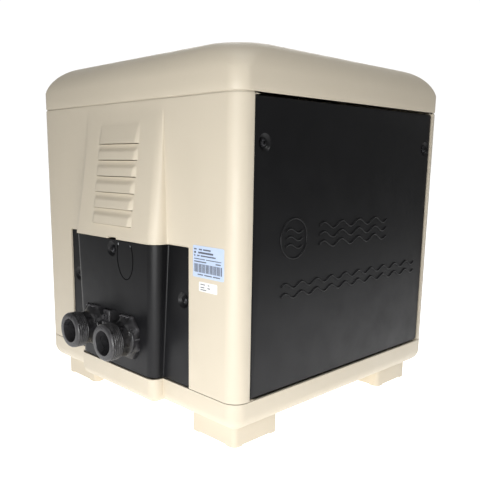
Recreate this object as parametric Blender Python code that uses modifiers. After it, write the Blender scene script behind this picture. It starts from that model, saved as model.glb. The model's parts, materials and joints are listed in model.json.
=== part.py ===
"""Gas-fired pool and spa heater: a square cream cabinet on a moulded base with four feet.

The black panel on the front (-Y) tilts out on its lower edge. The water header's two threaded stubs leave the left
side (-X) through a black cover, the gas pipe comes in on the right (+X), and the flue leaves at the rear (+Y).
Units are metres, +Z up. Everything is laid out about the centre of the cabinet's plan, and one empty moves it all so
that the origin is the middle of the whole object's box, at the floor.
"""

import math

import bmesh
import bpy
from mathutils import Matrix, Vector

# Cabinet
WIDTH = 0.533
DEPTH = 0.530
FOOT_HEIGHT = 0.035
SEAM_LOW = 0.080
SEAM_HIGH = 0.5133
TOP = 0.586
CORNER = 0.025
MARGIN = 0.031
LIP = 0.012
WALL = 0.003
GAP = 0.0005
SEAM_GAP = 0.0018
LEFT, RIGHT = -WIDTH / 2, WIDTH / 2
FRONT, REAR = -DEPTH / 2, DEPTH / 2

# Base
BASE_WALL = 0.004
BASE_ROUND = 0.024
FOOT_SIDE = 0.098
FOOT_INSET = 0.0243

# Lid
LID_ROUND = 0.041
LID_TOP_CORNER = 0.062

# The swelling on the left side that clears the water header
BULGE_TOP_Z = 0.503
BULGE_CUT_Z = 0.2985
BULGE_WIDE = 0.0278
BULGE_LOW = 0.0205
BULGE_FRONT = (0.107, 0.116, 0.100)  # half widths at the top, the cover and the base
BULGE_REAR = (0.102, 0.117, 0.117)
BULGE_ROUND = 0.015
COVER_FRONT, COVER_REAR = -0.1650, 0.1710
COVER_SET_BACK = 0.0022

# Louvres
LOUVRE_COUNT = 6
LOUVRE_PITCH = 0.0258
LOUVRE_HALF = 0.0570
LOUVRE_HIGH = 0.018
LOUVRE_PROUD = 0.0045
LOUVRE_SLOT = 0.0035
LOUVRE_TOP_Z = 0.4500

# Water header
STUB_END = 0.0720
STUB_Y = 0.0508
STUB_Z = 0.1385
HEADER_Y = 0.0125
OPENING_Y, OPENING_HALF = 0.0150, 0.0825
OPENING_LOW, OPENING_HIGH = 0.1035, 0.1770
STUB_OUTER = 0.03015
STUB_BORE = 0.0200
STUB_NECK = 0.0270
THREAD_PITCH = 0.0055
THREAD_TURNS = 4
THREAD_DEPTH = 0.0016
HEADER_BACK = 0.048
HEADER_HALF_Y = 0.092
HEADER_LOW, HEADER_HIGH = 0.092, 0.185
SHEET_THICK = 0.006

# Combustion chamber and coil
CHAMBER_X, CHAMBER_Y = -0.030, 0.040
CHAMBER_R = 0.145
CHAMBER_LOW, CHAMBER_HIGH = 0.092, 0.322
COIL_INNER, COIL_OUTER = 0.092, 0.122
COIL_TUBES = 5
COIL_PITCH = 0.032
COIL_LOW = 0.125
BURNER_R = 0.040
FLUE_R = 0.051
FLUE_Z = 0.235
FLUE_PROUD = 0.030

# Blower: its axis runs along Y and its outlet points down at the burner
SCROLL_SMALL, SCROLL_LARGE = 0.056, 0.080
SCROLL_DEPTH = 0.052
SCROLL_WALL = 0.003
DUCT_INNER = 0.036
BLOWER_Z = 0.425
BLOWER_X = CHAMBER_X - (SCROLL_LARGE + DUCT_INNER) / 2
BLOWER_Y = CHAMBER_Y
IMPELLER_R = 0.047
IMPELLER_DEPTH = 0.034
BLADES = 9
MOTOR_R, MOTOR_LENGTH = 0.042, 0.070
SHAFT_R = 0.004

# Gas train
VALVE_X, VALVE_Y, VALVE_Z = 0.165, -0.150, 0.235
GAS_PIPE_R = 0.0133
GAS_BORE_R = 0.0105
GAS_PROUD = 0.0300

# Control panel in the lid
PANEL_HALF_X, PANEL_HALF_Y = 0.095, 0.060
PANEL_Y = -0.115
PANEL_DROP = 0.006
KEY_TRAVEL = 0.0012
KEY_HALF_X, KEY_HALF_Y = 0.0125, 0.0085
KEY_PITCH = 0.033
KEY_Y = PANEL_Y - 0.033
DISPLAY_Y = PANEL_Y + 0.012
HINGE_Y, HINGE_Z = PANEL_Y + PANEL_HALF_Y + 0.010, TOP + 0.0045
PIN_R, PIN_REACH, EAR_X = 0.0016, 0.072, 0.062
COVER_THICK = 0.004

PANEL_SET_BACK = 0.0022
SCREW_HEAD, SCREW_SHANK, SCREW_LONG = 0.0062, 0.0022, 0.014
DIMPLE_R, DIMPLE_DEEP = 0.0130, 0.0040
PANEL_SCREW_X, PANEL_SCREW_Z = (-0.213, 0.2225), 0.4490
SIDE_SCREW_Y, SIDE_SCREW_Z = 0.1500, 0.2165
TOP_SCREW_Z = 0.2810

CREAM = ("cream_plastic", (0.72, 0.66, 0.54, 1), 0.45, 0.0)
BLACK = ("black_panel", (0.035, 0.035, 0.038, 1), 0.50, 0.0)
HEADER = ("glass_filled_nylon", (0.030, 0.030, 0.033, 1), 0.60, 0.0)
SCREW = ("black_screw", (0.020, 0.020, 0.022, 1), 0.35, 0.9)
STEEL = ("galvanised_steel", (0.55, 0.56, 0.57, 1), 0.40, 1.0)
COPPER = ("copper", (0.72, 0.40, 0.26, 1), 0.35, 1.0)
ALUMINIUM = ("cast_aluminium", (0.62, 0.63, 0.65, 1), 0.45, 1.0)
BRASS = ("brass", (0.70, 0.55, 0.28, 1), 0.35, 1.0)
RUBBER = ("rubber", (0.020, 0.020, 0.020, 1), 0.80, 0.0)
SMOKE = ("smoked_cover", (0.060, 0.060, 0.070, 1), 0.15, 0.0)
KEYS = ("key_rubber", (0.30, 0.32, 0.34, 1), 0.65, 0.0)
BOARD = ("circuit_board", (0.05, 0.22, 0.10, 1), 0.50, 0.0)
CERAMIC = ("ceramic", (0.85, 0.83, 0.78, 1), 0.60, 0.0)
MOTOR = ("motor_black", (0.05, 0.05, 0.055, 1), 0.40, 0.6)
CABLE = ("cable_sheath", (0.03, 0.03, 0.03, 1), 0.60, 0.0)


# ---------------------------------------------------------------- scene and objects


def clear_scene():
    for old in list(bpy.data.objects):
        bpy.data.objects.remove(old, do_unlink=True)


def collection(name):
    made = bpy.data.collections.new(name)
    bpy.context.scene.collection.children.link(made)
    return made


clear_scene()
PARTS = collection("pool_heater")
CUTTERS = collection("cutters")
ORIGIN = bpy.data.objects.new("whole_box_centre", None)
PARTS.objects.link(ORIGIN)


def finish_of(spec):
    name, colour, roughness, metallic = spec
    found = bpy.data.materials.get(name)
    if found:
        return found
    made = bpy.data.materials.new(name)
    made.use_nodes = True
    shader = made.node_tree.nodes["Principled BSDF"]
    shader.inputs["Base Color"].default_value = colour
    shader.inputs["Roughness"].default_value = roughness
    shader.inputs["Metallic"].default_value = metallic
    return made


def add(name, mesh, spec=None, smooth=False):
    """A new object in the heater's collection, riding on the empty that places the whole model."""
    made = bpy.data.objects.new(name, mesh)
    PARTS.objects.link(made)
    made.parent = ORIGIN
    if spec:
        mesh.materials.append(finish_of(spec))
    if smooth:
        mesh.shade_smooth()
        mesh.set_sharp_from_angle(angle=math.radians(35))
    return made


def mesh_of(name, bm):
    mesh = bpy.data.meshes.new(name)
    bm.to_mesh(mesh)
    bm.free()
    return mesh


def pivot(name, place):
    """An empty on a joint's axis, for the pieces that turn or slide with it."""
    made = bpy.data.objects.new(name, None)
    made.location = place
    made.parent = ORIGIN
    PARTS.objects.link(made)
    return made


def hang(piece, holder):
    """Parents a piece to a joint's empty and leaves it where it is."""
    piece.parent = holder
    piece.matrix_parent_inverse = Matrix.Translation(holder.location).inverted()
    return piece


def as_tool(tool, piece):
    """Moves a shape used by a Boolean out of the model, and keeps it with the piece that it works on."""
    PARTS.objects.unlink(tool)
    CUTTERS.objects.link(tool)
    tool.hide_render = True
    tool.display_type = "WIRE"
    tool["works_on"] = piece.name


def boolean(piece, tool, operation):
    modifier = piece.modifiers.new(operation.title(), "BOOLEAN")
    modifier.operation = operation
    modifier.solver = "EXACT"
    modifier.object = tool
    as_tool(tool, piece)
    return piece


def cut(piece, *tools):
    for tool in tools:
        boolean(piece, tool, "DIFFERENCE")
    return piece


def join(piece, *tools):
    for tool in tools:
        boolean(piece, tool, "UNION")
    return piece


# ---------------------------------------------------------------- shapes


def block(name, low, high, spec=None, round_edges=0.0, steps=2, picked=None):
    """A box between two corners. picked(edge) chooses the edges that are rounded."""
    low, high = Vector(low), Vector(high)
    bm = bmesh.new()
    size = Matrix.Diagonal((*(high - low), 1))
    bmesh.ops.create_cube(bm, size=1, matrix=Matrix.Translation((low + high) / 2) @ size)
    if round_edges:
        edges = [e for e in bm.edges if picked is None or picked(e)]
        bmesh.ops.bevel(bm, geom=edges, offset=round_edges, segments=steps, profile=0.5, affect="EDGES")
    return add(name, mesh_of(name, bm), spec)


def along(edge, axis):
    ends = edge.verts[1].co - edge.verts[0].co
    return abs(ends.normalized()[axis]) > 0.9


def upright(edge):
    return along(edge, 2)


def rod(name, start, end, radius, spec=None, sides=24, end_radius=None):
    """A cylinder, or a cone, from one point to another."""
    start, end = Vector(start), Vector(end)
    reach = end - start
    turn = reach.to_track_quat("Z", "Y").to_matrix().to_4x4()
    bm = bmesh.new()
    bmesh.ops.create_cone(
        bm,
        cap_ends=True,
        segments=sides,
        radius1=radius,
        radius2=radius if end_radius is None else end_radius,
        depth=reach.length,
        matrix=Matrix.Translation((start + end) / 2) @ turn,
    )
    return add(name, mesh_of(name, bm), spec, smooth=True)


AXIS_TURN = {
    "+Z": Matrix.Identity(4),
    "-Z": Matrix.Rotation(math.pi, 4, "X"),
    "-Y": Matrix.Rotation(math.pi / 2, 4, "X"),
    "+Y": Matrix.Rotation(-math.pi / 2, 4, "X"),
    "-X": Matrix.Rotation(-math.pi / 2, 4, "Y"),
    "+X": Matrix.Rotation(math.pi / 2, 4, "Y"),
}


def turned(name, profile, place, axis, spec=None, steps=32, ring=False):
    """A lathe shape. profile holds (radius, height) down the outer side; a ring's profile closes on itself."""
    count = len(profile)
    edges = [(i, i + 1) for i in range(count - 1)] + ([(count - 1, 0)] if ring else [])
    mesh = bpy.data.meshes.new(name)
    mesh.from_pydata([(r, 0, h) for r, h in profile], edges, [])
    made = add(name, mesh, spec)
    made.matrix_local = Matrix.Translation(place) @ AXIS_TURN[axis]
    screw = made.modifiers.new("Turn", "SCREW")
    screw.steps = steps
    screw.render_steps = steps
    screw.use_merge_vertices = True
    screw.merge_threshold = 0.00001
    screw.use_smooth_shade = True
    return made


def mesh_from_curve(name, curve):
    """The closed mesh that a filled or bevelled curve makes, with its caps welded on."""
    guide = bpy.data.objects.new(name + "_guide", curve)
    PARTS.objects.link(guide)
    bpy.context.view_layer.update()
    graph = bpy.context.evaluated_depsgraph_get()
    bm = bmesh.new()
    bm.from_mesh(bpy.data.meshes.new_from_object(guide.evaluated_get(graph)))
    bpy.data.objects.remove(guide)
    bmesh.ops.remove_doubles(bm, verts=bm.verts, dist=0.00001)
    return bm


def prism(name, outline, low, high, axis, spec=None):
    """A flat outline given in the two other axes, in X, Y, Z order, and extruded along axis from low to high."""
    curve = bpy.data.curves.new(name, "CURVE")
    curve.dimensions = "2D"
    curve.fill_mode = "BOTH"
    curve.extrude = (high - low) / 2
    spline = curve.splines.new("POLY")
    spline.points.add(len(outline) - 1)
    for point, (a, b) in zip(spline.points, outline):
        point.co = (a, b, 0, 1)
    spline.use_cyclic_u = True
    bm = mesh_from_curve(name, curve)
    middle = (low + high) / 2
    places = {
        "X": Matrix(((0, 0, 1, middle), (1, 0, 0, 0), (0, 1, 0, 0), (0, 0, 0, 1))),
        "Y": Matrix(((1, 0, 0, 0), (0, 0, -1, middle), (0, 1, 0, 0), (0, 0, 0, 1))),
        "Z": Matrix.Translation((0, 0, middle)),
    }
    bm.transform(places[axis])
    bmesh.ops.recalc_face_normals(bm, faces=bm.faces)
    return add(name, mesh_of(name, bm), spec)


def tube(name, route, radius, spec, sides_step=2):
    """A round pipe or cable along a list of points."""
    curve = bpy.data.curves.new(name, "CURVE")
    curve.dimensions = "3D"
    curve.bevel_depth = radius
    curve.bevel_resolution = sides_step
    curve.use_fill_caps = True
    spline = curve.splines.new("POLY")
    spline.points.add(len(route) - 1)
    for point, place in zip(spline.points, route):
        point.co = (*place, 1)
    bm = mesh_from_curve(name, curve)
    bmesh.ops.recalc_face_normals(bm, faces=bm.faces)
    return add(name, mesh_of(name, bm), spec, smooth=True)


def smooth_route(points, spacing):
    """Points about spacing apart on a smooth curve through the given points."""
    points = [Vector(p) for p in points]
    ends = [2 * points[0] - points[1], *points, 2 * points[-1] - points[-2]]
    route = []
    for before, start, end, after in zip(ends, ends[1:], ends[2:], ends[3:]):
        steps = max(2, round((end - start).length / spacing))
        for i in range(steps):
            t = i / steps
            route.append(
                0.5
                * (
                    2 * start
                    + (end - before) * t
                    + (2 * before - 5 * start + 4 * end - after) * t**2
                    + (3 * start - before - 3 * end + after) * t**3
                )
            )
    return [*route, points[-1]]


def skin(name, rows, spec, thick, closed=False, capped=False):
    """A surface through rows of points, thickened inwards. Rows go up, and their points anticlockwise from above."""
    bm = bmesh.new()
    made = [[bm.verts.new(p) for p in row] for row in rows]
    for low, high in zip(made, made[1:]):
        for i in range(len(low) if closed else len(low) - 1):
            j = (i + 1) % len(low)
            bm.faces.new((low[i], low[j], high[j], high[i]))
    if capped:
        bm.faces.new(made[-1])
    piece = add(name, mesh_of(name, bm), spec, smooth=True)
    shell = piece.modifiers.new("Shell", "SOLIDIFY")
    shell.thickness = thick
    shell.offset = -1
    return piece


def arc(centre_x, centre_y, radius, start, end, steps):
    """Points on an arc from start to end, in degrees."""
    turn = [math.radians(start + (end - start) * i / steps) for i in range(steps + 1)]
    return [(centre_x + radius * math.cos(a), centre_y + radius * math.sin(a)) for a in turn]


def rounded_rectangle(half_x, half_y, radius, steps, centre=(0, 0)):
    cx, cy = centre
    x, y = half_x - radius, half_y - radius
    return (
        arc(cx + x, cy + y, radius, 0, 90, steps)
        + arc(cx - x, cy + y, radius, 90, 180, steps)
        + arc(cx - x, cy - y, radius, 180, 270, steps)
        + arc(cx + x, cy - y, radius, 270, 360, steps)
    )


# ---------------------------------------------------------------- cabinet


def base_pan():
    """The moulded base: a tray with a rounded underside, four feet and a swelling under the plumbing cover."""

    def below_rim(edge):
        return upright(edge) or max(v.co.z for v in edge.verts) < SEAM_LOW - 0.001

    top = SEAM_LOW - GAP
    outer = [(LEFT, FRONT, FOOT_HEIGHT), (RIGHT, REAR, top)]
    pan = block("base_pan", *outer, CREAM, BASE_ROUND, 4, below_rim)
    swelling = block(
        "base_swelling",
        (LEFT - BULGE_LOW, -BULGE_FRONT[2], FOOT_HEIGHT + 0.004),
        (LEFT + 0.030, BULGE_REAR[2], top),
        None,
        0.013,
        3,
        below_rim,
    )
    join(pan, swelling)
    for side_x in (-1, 1):
        for side_y in (-1, 1):
            x = side_x * (WIDTH / 2 - FOOT_INSET - FOOT_SIDE / 2)
            y = side_y * (DEPTH / 2 - FOOT_INSET - FOOT_SIDE / 2)
            half = FOOT_SIDE / 2
            corners = [(x - half, y - half, 0), (x + half, y + half, FOOT_HEIGHT + 0.003)]
            join(pan, block("foot_block", *corners, None, 0.008, 2, upright))
    inner_low = (LEFT + BASE_WALL, FRONT + BASE_WALL, FOOT_HEIGHT + BASE_WALL)
    inner_high = (RIGHT - BASE_WALL, REAR - BASE_WALL, SEAM_LOW + 0.010)
    cut(pan, block("tray_hollow", inner_low, inner_high, None, BASE_ROUND - BASE_WALL, 3, below_rim))
    swell_low = (LEFT - BULGE_LOW + BASE_WALL, -BULGE_FRONT[2] + BASE_WALL, FOOT_HEIGHT + 0.010)
    swell_high = (LEFT + 0.030, BULGE_REAR[2] - BASE_WALL, SEAM_LOW + 0.010)
    cut(pan, block("swelling_hollow", swell_low, swell_high, None, 0.008, 2, upright))
    for x in (-0.07, 0.07):
        drain = [(x - 0.030, -0.008, FOOT_HEIGHT - 0.010), (x + 0.030, 0.008, FOOT_HEIGHT + 0.020)]
        cut(pan, block("drain_slot", *drain))
    return pan


def bulge_at(z):
    """(front half width, rear half width, how far it stands out) of the left side's swelling at height z."""

    def between(one, two, t):
        return one + (two - one) * t

    if z >= BULGE_CUT_Z:
        t = min(1, (z - BULGE_CUT_Z) / (BULGE_TOP_Z - BULGE_CUT_Z))
        ends, proud = (1, 0), BULGE_WIDE * (1 - t)
    else:
        t = min(1, (BULGE_CUT_Z - z) / (BULGE_CUT_Z - SEAM_LOW))
        ends, proud = (1, 2), between(BULGE_WIDE, BULGE_LOW, t)
    front, rear = (between(half[ends[0]], half[ends[1]], t) for half in (BULGE_FRONT, BULGE_REAR))
    return front, rear, proud


def bulge_points(z, face_x, shrink=0.0):
    """The swelling's outline at height z from its rear edge to its front edge."""
    front_half, rear_half, proud = bulge_at(z)
    steps = 4

    def half_outline(half):
        side = [(half, 0.0)]
        for i in range(steps + 1):
            a = math.pi / 2 * i / steps
            side.append((half - BULGE_ROUND * (1 - math.cos(a)), proud * (0.45 + 0.55 * math.sin(a))))
        return side

    rear = half_outline(rear_half - shrink)
    front = [(-y, out) for y, out in reversed(half_outline(front_half - shrink))]
    return [(face_x - out, y, z) for y, out in [*rear, *front]]


def corner_points(z, side_x, side_y):
    """A cabinet corner at height z, from the side face round to the margin beside the panel and its lip.

    The front right corner has no margin: the service panel reaches its round.
    """
    face = side_y * DEPTH / 2
    centre_x, centre_y = side_x * (WIDTH / 2 - CORNER), side_y * (DEPTH / 2 - CORNER)
    turn = []
    for i in range(6):
        a = math.pi / 2 * i / 5
        x = centre_x + side_x * CORNER * math.cos(a)
        turn.append((x, centre_y + side_y * CORNER * math.sin(a), z))
    if side_x > 0 and side_y < 0:
        return [*turn, (WIDTH / 2 - CORNER, face - side_y * LIP, z)]
    margin = side_x * (WIDTH / 2 - MARGIN)
    return [*turn, (margin, face, z), (margin, face - side_y * LIP, z)]


def left_jacket():
    """The left side, wrapped round both corners, with the swelling, its louvres and the plumbing cover's opening."""
    low, high = SEAM_LOW + GAP, SEAM_HIGH - GAP
    rows = []
    for z in (low, BULGE_CUT_Z, 0.40, BULGE_TOP_Z - 0.0005, high):
        middle = bulge_points(max(z, BULGE_CUT_Z), LEFT)
        middle = [(x, y, z) for x, y, _ in middle]
        rows.append([*reversed(corner_points(z, -1, 1)), *middle, *corner_points(z, -1, -1)])
    piece = skin("left_jacket", rows, CREAM, WALL)
    opening_low = (LEFT - 0.060, COVER_FRONT, 0)
    opening = block("cover_opening", opening_low, (LEFT + 0.020, COVER_REAR, BULGE_CUT_Z))
    slope = BULGE_WIDE / (BULGE_TOP_Z - BULGE_CUT_Z)
    louvres(piece, "left", LEFT, -1, slope)
    return cut(piece, opening)


def louvres(piece, side, face_x, out, slope):
    """Six hoods with a slot under each, down a wall that leans out by slope as it goes down."""
    z = LOUVRE_TOP_Z
    bottom = abs(slope) * (BULGE_TOP_Z - z)
    top = abs(slope) * (BULGE_TOP_Z - z - LOUVRE_HIGH)
    x_top, x_bottom = face_x + out * top, face_x + out * bottom
    sunk = -out * WALL / 2
    hood_outline = [
        (x_top + sunk, z + LOUVRE_HIGH),
        (x_bottom + sunk, z),
        (x_bottom + out * LOUVRE_PROUD, z),
        (x_bottom + out * LOUVRE_PROUD * 0.9, z + 0.004),
    ]
    hood = prism(side + "_hoods", hood_outline, -LOUVRE_HALF, LOUVRE_HALF, "Y")
    slot_low = (min(x_bottom - 0.012, x_bottom + 0.012), -LOUVRE_HALF + 0.004, z - LOUVRE_SLOT)
    slot = block(side + "_slots", slot_low, (x_bottom + 0.012, LOUVRE_HALF - 0.004, z - 0.0004))
    for shape in (hood, slot):
        row = shape.modifiers.new("Row", "ARRAY")
        row.count = LOUVRE_COUNT
        row.use_relative_offset = False
        row.use_constant_offset = True
        row.constant_offset_displace = (out * abs(slope) * LOUVRE_PITCH, 0, -LOUVRE_PITCH)
        row.merge_threshold = 0.00001
    join(piece, hood)
    cut(piece, slot)


def right_jacket():
    """The right side, with louvres for combustion air, the gas pipe's hole and the conduit hole."""
    rows = []
    for z in (SEAM_LOW + GAP, SEAM_HIGH - GAP):
        rows.append([*reversed(corner_points(z, 1, -1)), *corner_points(z, 1, 1)])
    piece = skin("right_jacket", rows, CREAM, WALL)
    louvres(piece, "right", RIGHT, 1, 0)
    pipe_hole = rod("pipe_hole", (RIGHT - 0.02, VALVE_Y, VALVE_Z), (RIGHT + 0.02, VALVE_Y, VALVE_Z), 0.019)
    conduit_hole = rod("conduit_hole", (RIGHT - 0.02, 0.16, 0.16), (RIGHT + 0.02, 0.16, 0.16), 0.0115)
    return cut(piece, pipe_hole, conduit_hole)


def dimpled(piece, places, out_axis):
    """A round dished seat and a clearance hole in a panel, for each screw."""
    out = Vector(out_axis)
    for place in places:
        at = Vector(place)
        boss = rod("seat_boss", at - out * 0.0008, at - out * (DIMPLE_DEEP + 0.003), DIMPLE_R + 0.002, None, 18)
        join(piece, boss)
        dish = rod("seat_dish", at - out * DIMPLE_DEEP, at + out * 0.001, SCREW_HEAD + 0.0015, None, 18, DIMPLE_R)
        hole = rod("seat_hole", at + out * 0.002, at - out * 0.020, SCREW_SHANK + 0.0006, None, 10)
        cut(piece, dish, hole)


def panel_pan(name, face_y, inward, spec, right_margin):
    """A panel folded into a shallow pan, between the jackets' margins. inward is +1 or -1 along Y."""
    left, right = -WIDTH / 2 + MARGIN + SEAM_GAP, WIDTH / 2 - right_margin - SEAM_GAP
    middle, half = (left + right) / 2, (right - left) / 2
    low, high = SEAM_LOW + SEAM_GAP, SEAM_HIGH - SEAM_GAP
    deep = 0.011

    def ring(inset, y):
        corners = rounded_rectangle(half - inset, (high - low) / 2 - inset, 0.004, 2, (middle, (low + high) / 2))
        return [(x, y, z) for x, z in corners]

    rows = [ring(0, face_y + inward * deep), ring(0, face_y + inward * 0.002), ring(0.002, face_y)]
    if inward < 0:
        rows = [list(reversed(row)) for row in rows]
    return skin(name, rows, spec, 0.0016, closed=True, capped=True)


def front_service_panel():
    """The front panel, with its pivot on its lower front edge, where it tilts out."""
    face = FRONT + PANEL_SET_BACK
    panel = panel_pan("front_service_panel", face, 1, BLACK, CORNER)
    places = [(x, face, PANEL_SCREW_Z) for x in PANEL_SCREW_X]
    dimpled(panel, places, (0, -1, 0))
    holder = pivot("service_panel_tilt", (0, face, SEAM_LOW + SEAM_GAP))
    hang(panel, holder)
    for side, place in zip(("left", "right"), places):
        hang(screw("service_screw_" + side, place, "-Y"), holder)
    return panel


def rear_panel():
    panel = panel_pan("rear_panel", REAR - 0.0004, -1, CREAM, MARGIN)
    hole = rod("flue_hole", (CHAMBER_X, REAR - 0.03, FLUE_Z), (CHAMBER_X, REAR + 0.01, FLUE_Z), FLUE_R + 0.003, None, 24)
    return cut(panel, hole)


def screw(name, place, axis):
    """A pan-head screw whose head sits in its dished seat."""
    seat = -DIMPLE_DEEP + 0.0003
    profile = [
        (0, seat + 0.0036),
        (SCREW_HEAD * 0.8, seat + 0.0030),
        (SCREW_HEAD, seat + 0.0014),
        (SCREW_HEAD, seat),
        (SCREW_SHANK, seat),
        (SCREW_SHANK, seat - SCREW_LONG + 0.002),
        (0, seat - SCREW_LONG),
    ]
    return turned(name, profile, place, axis, SCREW, steps=12)


def lid_ring(turn_angle):
    """One level of the lid's outline: its edge rolls in over the top, and its corners grow rounder as it does."""
    inset = LID_ROUND * (1 - math.cos(turn_angle))
    z = TOP - LID_ROUND + LID_ROUND * math.sin(turn_angle)
    radius = CORNER + (LID_TOP_CORNER - CORNER) * math.sin(turn_angle)
    corners = rounded_rectangle(WIDTH / 2 - inset, DEPTH / 2 - inset, radius, 4)
    return [(x, y, z) for x, y in corners]


def top_lid():
    """The lid, open below, with an opening for the control panel and the screws that hold it at the rear."""
    rim = [(x, y, SEAM_HIGH + SEAM_GAP) for x, y, _ in lid_ring(0)]
    rows = [rim] + [lid_ring(math.radians(18 * i)) for i in range(6)]
    lid = skin("top_lid", rows, CREAM, WALL, closed=True, capped=True)
    window = rounded_rectangle(PANEL_HALF_X, PANEL_HALF_Y, 0.010, 3, (0, PANEL_Y))
    cut(lid, prism("control_opening", window, TOP - 0.02, TOP + 0.02, "Z"))
    hinge_low = (-0.078, HINGE_Y - 0.0035, TOP - 0.001)
    join(lid, block("hinge_rail", hinge_low, (0.078, HINGE_Y + 0.0045, TOP + 0.0085)))
    for x in (-EAR_X, EAR_X):
        room = (x - 0.0090, HINGE_Y - 0.01, TOP + 0.0004)
        cut(lid, block("ear_room", room, (x + 0.0090, HINGE_Y + 0.01, TOP + 0.02)))
    pin_end = PIN_REACH + GAP
    cut(lid, rod("pin_hole", (-pin_end, HINGE_Y, HINGE_Z), (pin_end, HINGE_Y, HINGE_Z), PIN_R + GAP, None, 16))
    for x in (-0.16, 0.16):
        cut(lid, rod("lid_hole", (x, REAR - 0.02, 0.532), (x, REAR + 0.02, 0.532), SCREW_SHANK + 0.0006, None, 10))
    for side, x in (("left", -0.16), ("right", 0.16)):
        screw("lid_screw_" + side, (x, REAR + DIMPLE_DEEP, 0.532), "+Y")
    return lid


def upper_frame():
    """A steel angle frame that ties the jackets together under the lid and takes the lid's screws."""
    half_x, half_y = WIDTH / 2 - 0.012, DEPTH / 2 - 0.014
    low, high = SEAM_HIGH - 0.028, SEAM_HIGH - 0.001
    outer = rounded_rectangle(half_x, half_y, 0.012, 3)
    frame = prism("upper_frame", outer, low, high, "Z", STEEL)
    inner = rounded_rectangle(half_x - 0.0015, half_y - 0.0015, 0.0105, 3)
    shelf = rounded_rectangle(half_x - 0.016, half_y - 0.016, 0.006, 2)
    cut(frame, prism("frame_hollow", inner, low - 0.01, high - 0.0015, "Z"))
    cut(frame, prism("frame_window", shelf, low - 0.01, high + 0.01, "Z"))
    return frame


# ---------------------------------------------------------------- plumbing side


def chamfered(middle, half, low, high, across, up):
    """A rectangle in (Y, Z) with its corners cut off, across by up."""
    return [
        (middle - half, low + up),
        (middle - half + across, low),
        (middle + half - across, low),
        (middle + half, low + up),
        (middle + half, high - up),
        (middle + half - across, high),
        (middle - half + across, high),
        (middle - half, high - up),
    ]


def plumbing_cover():
    """The black cover over the header: a flange set back in the jacket's opening, and the lower part of the swelling."""
    face = LEFT + COVER_SET_BACK
    low, high = SEAM_LOW + SEAM_GAP, BULGE_CUT_Z - SEAM_GAP
    front, rear = COVER_FRONT + 0.0028, COVER_REAR - 0.0015
    rows = []
    for z in (low, (low + high) / 2, high):
        rows.append([(face, rear, z), *bulge_points(z, face, 0.001), (face, front, z)])
    cover = skin("plumbing_cover", rows, BLACK, WALL)
    outline = chamfered(OPENING_Y, OPENING_HALF, OPENING_LOW, OPENING_HIGH, 0.015, 0.019)
    cut(cover, prism("header_opening", outline, LEFT - 0.060, LEFT + 0.020, "X"))
    proud = bulge_at(TOP_SCREW_Z)[2]
    places = {
        "rear": (face, SIDE_SCREW_Y, SIDE_SCREW_Z),
        "front": (face, -SIDE_SCREW_Y, SIDE_SCREW_Z),
        "top": (face - proud, 0, TOP_SCREW_Z),
    }
    dimpled(cover, places.values(), (-1, 0, 0))
    for side, place in places.items():
        screw("cover_screw_" + side, place, "-X")
    return cover


def stub_profile():
    """The threaded stub's outline, from its open end to where it meets the header's body."""
    reach = HEADER_BACK + STUB_END
    end = 0.0
    profile = [(0, end), (STUB_OUTER - 0.0028, end), (STUB_OUTER - THREAD_DEPTH, end - 0.0018)]
    for turn in range(THREAD_TURNS):
        z = end - 0.0028 - turn * THREAD_PITCH
        profile += [(STUB_OUTER, z), (STUB_OUTER - THREAD_DEPTH, z - THREAD_PITCH / 2)]
    z = end - 0.0028 - THREAD_TURNS * THREAD_PITCH
    profile += [(STUB_NECK, z - 0.002), (STUB_NECK, end - reach + 0.012), (0, end - reach + 0.012)]
    return profile


def header_manifold():
    """The water header: two threaded stubs with eight-sided collars on one moulded body, bored right through."""
    low = (LEFT + 0.0060, HEADER_Y - HEADER_HALF_Y + 0.006, HEADER_LOW)
    high = (LEFT + HEADER_BACK, HEADER_Y + HEADER_HALF_Y - 0.006, HEADER_HIGH)
    body = block("header_manifold", low, high, HEADER, 0.005, 1)
    for side in (-1, 1):
        y = HEADER_Y + side * STUB_Y
        stub = turned("stub", stub_profile(), (LEFT - STUB_END, y, STUB_Z), "-X", steps=20)
        collar = chamfered(y, 0.0285, OPENING_LOW + 0.0012, OPENING_HIGH - 0.0012, 0.0150, 0.0180)
        join(body, stub, prism("collar", collar, LEFT - 0.0330, LEFT + 0.0130, "X"))
    bridge_low = (LEFT - 0.027, HEADER_Y - 0.026, 0.118)
    join(body, block("bridge", bridge_low, (LEFT + 0.020, HEADER_Y + 0.026, 0.161), None, 0.004, 1))
    for side in (-1, 1):
        bore = [(0, 0.001), (STUB_BORE + 0.0008, 0.001), (STUB_BORE, -0.0004)]
        bore += [(STUB_BORE, -STUB_END - HEADER_BACK - 0.01), (0, -STUB_END - HEADER_BACK - 0.01)]
        at = (LEFT - STUB_END, HEADER_Y + side * STUB_Y, STUB_Z)
        cut(body, turned("water_bore", bore, at, "-X", steps=18))
    x, y = LEFT + 0.030, HEADER_Y
    cut(body, rod("bypass_bore", (x, y, HEADER_HIGH - 0.060), (x, y, HEADER_HIGH + 0.01), 0.0125))
    cut(body, rod("bypass_passage", (x, y - 0.045, STUB_Z), (x, y + 0.045, STUB_Z), 0.0070, None, 16))
    sensor = (LEFT + 0.028, HEADER_Y - 0.066, HEADER_HIGH - 0.006)
    cut(body, rod("sensor_bore", sensor, (sensor[0], sensor[1], HEADER_HIGH + 0.01), 0.0052, None, 16))
    drain = (LEFT + 0.028, HEADER_Y, HEADER_LOW - 0.01)
    cut(body, rod("drain_bore", drain, (drain[0], HEADER_Y, HEADER_LOW + 0.012), 0.0085, None, 20))
    return body


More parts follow.
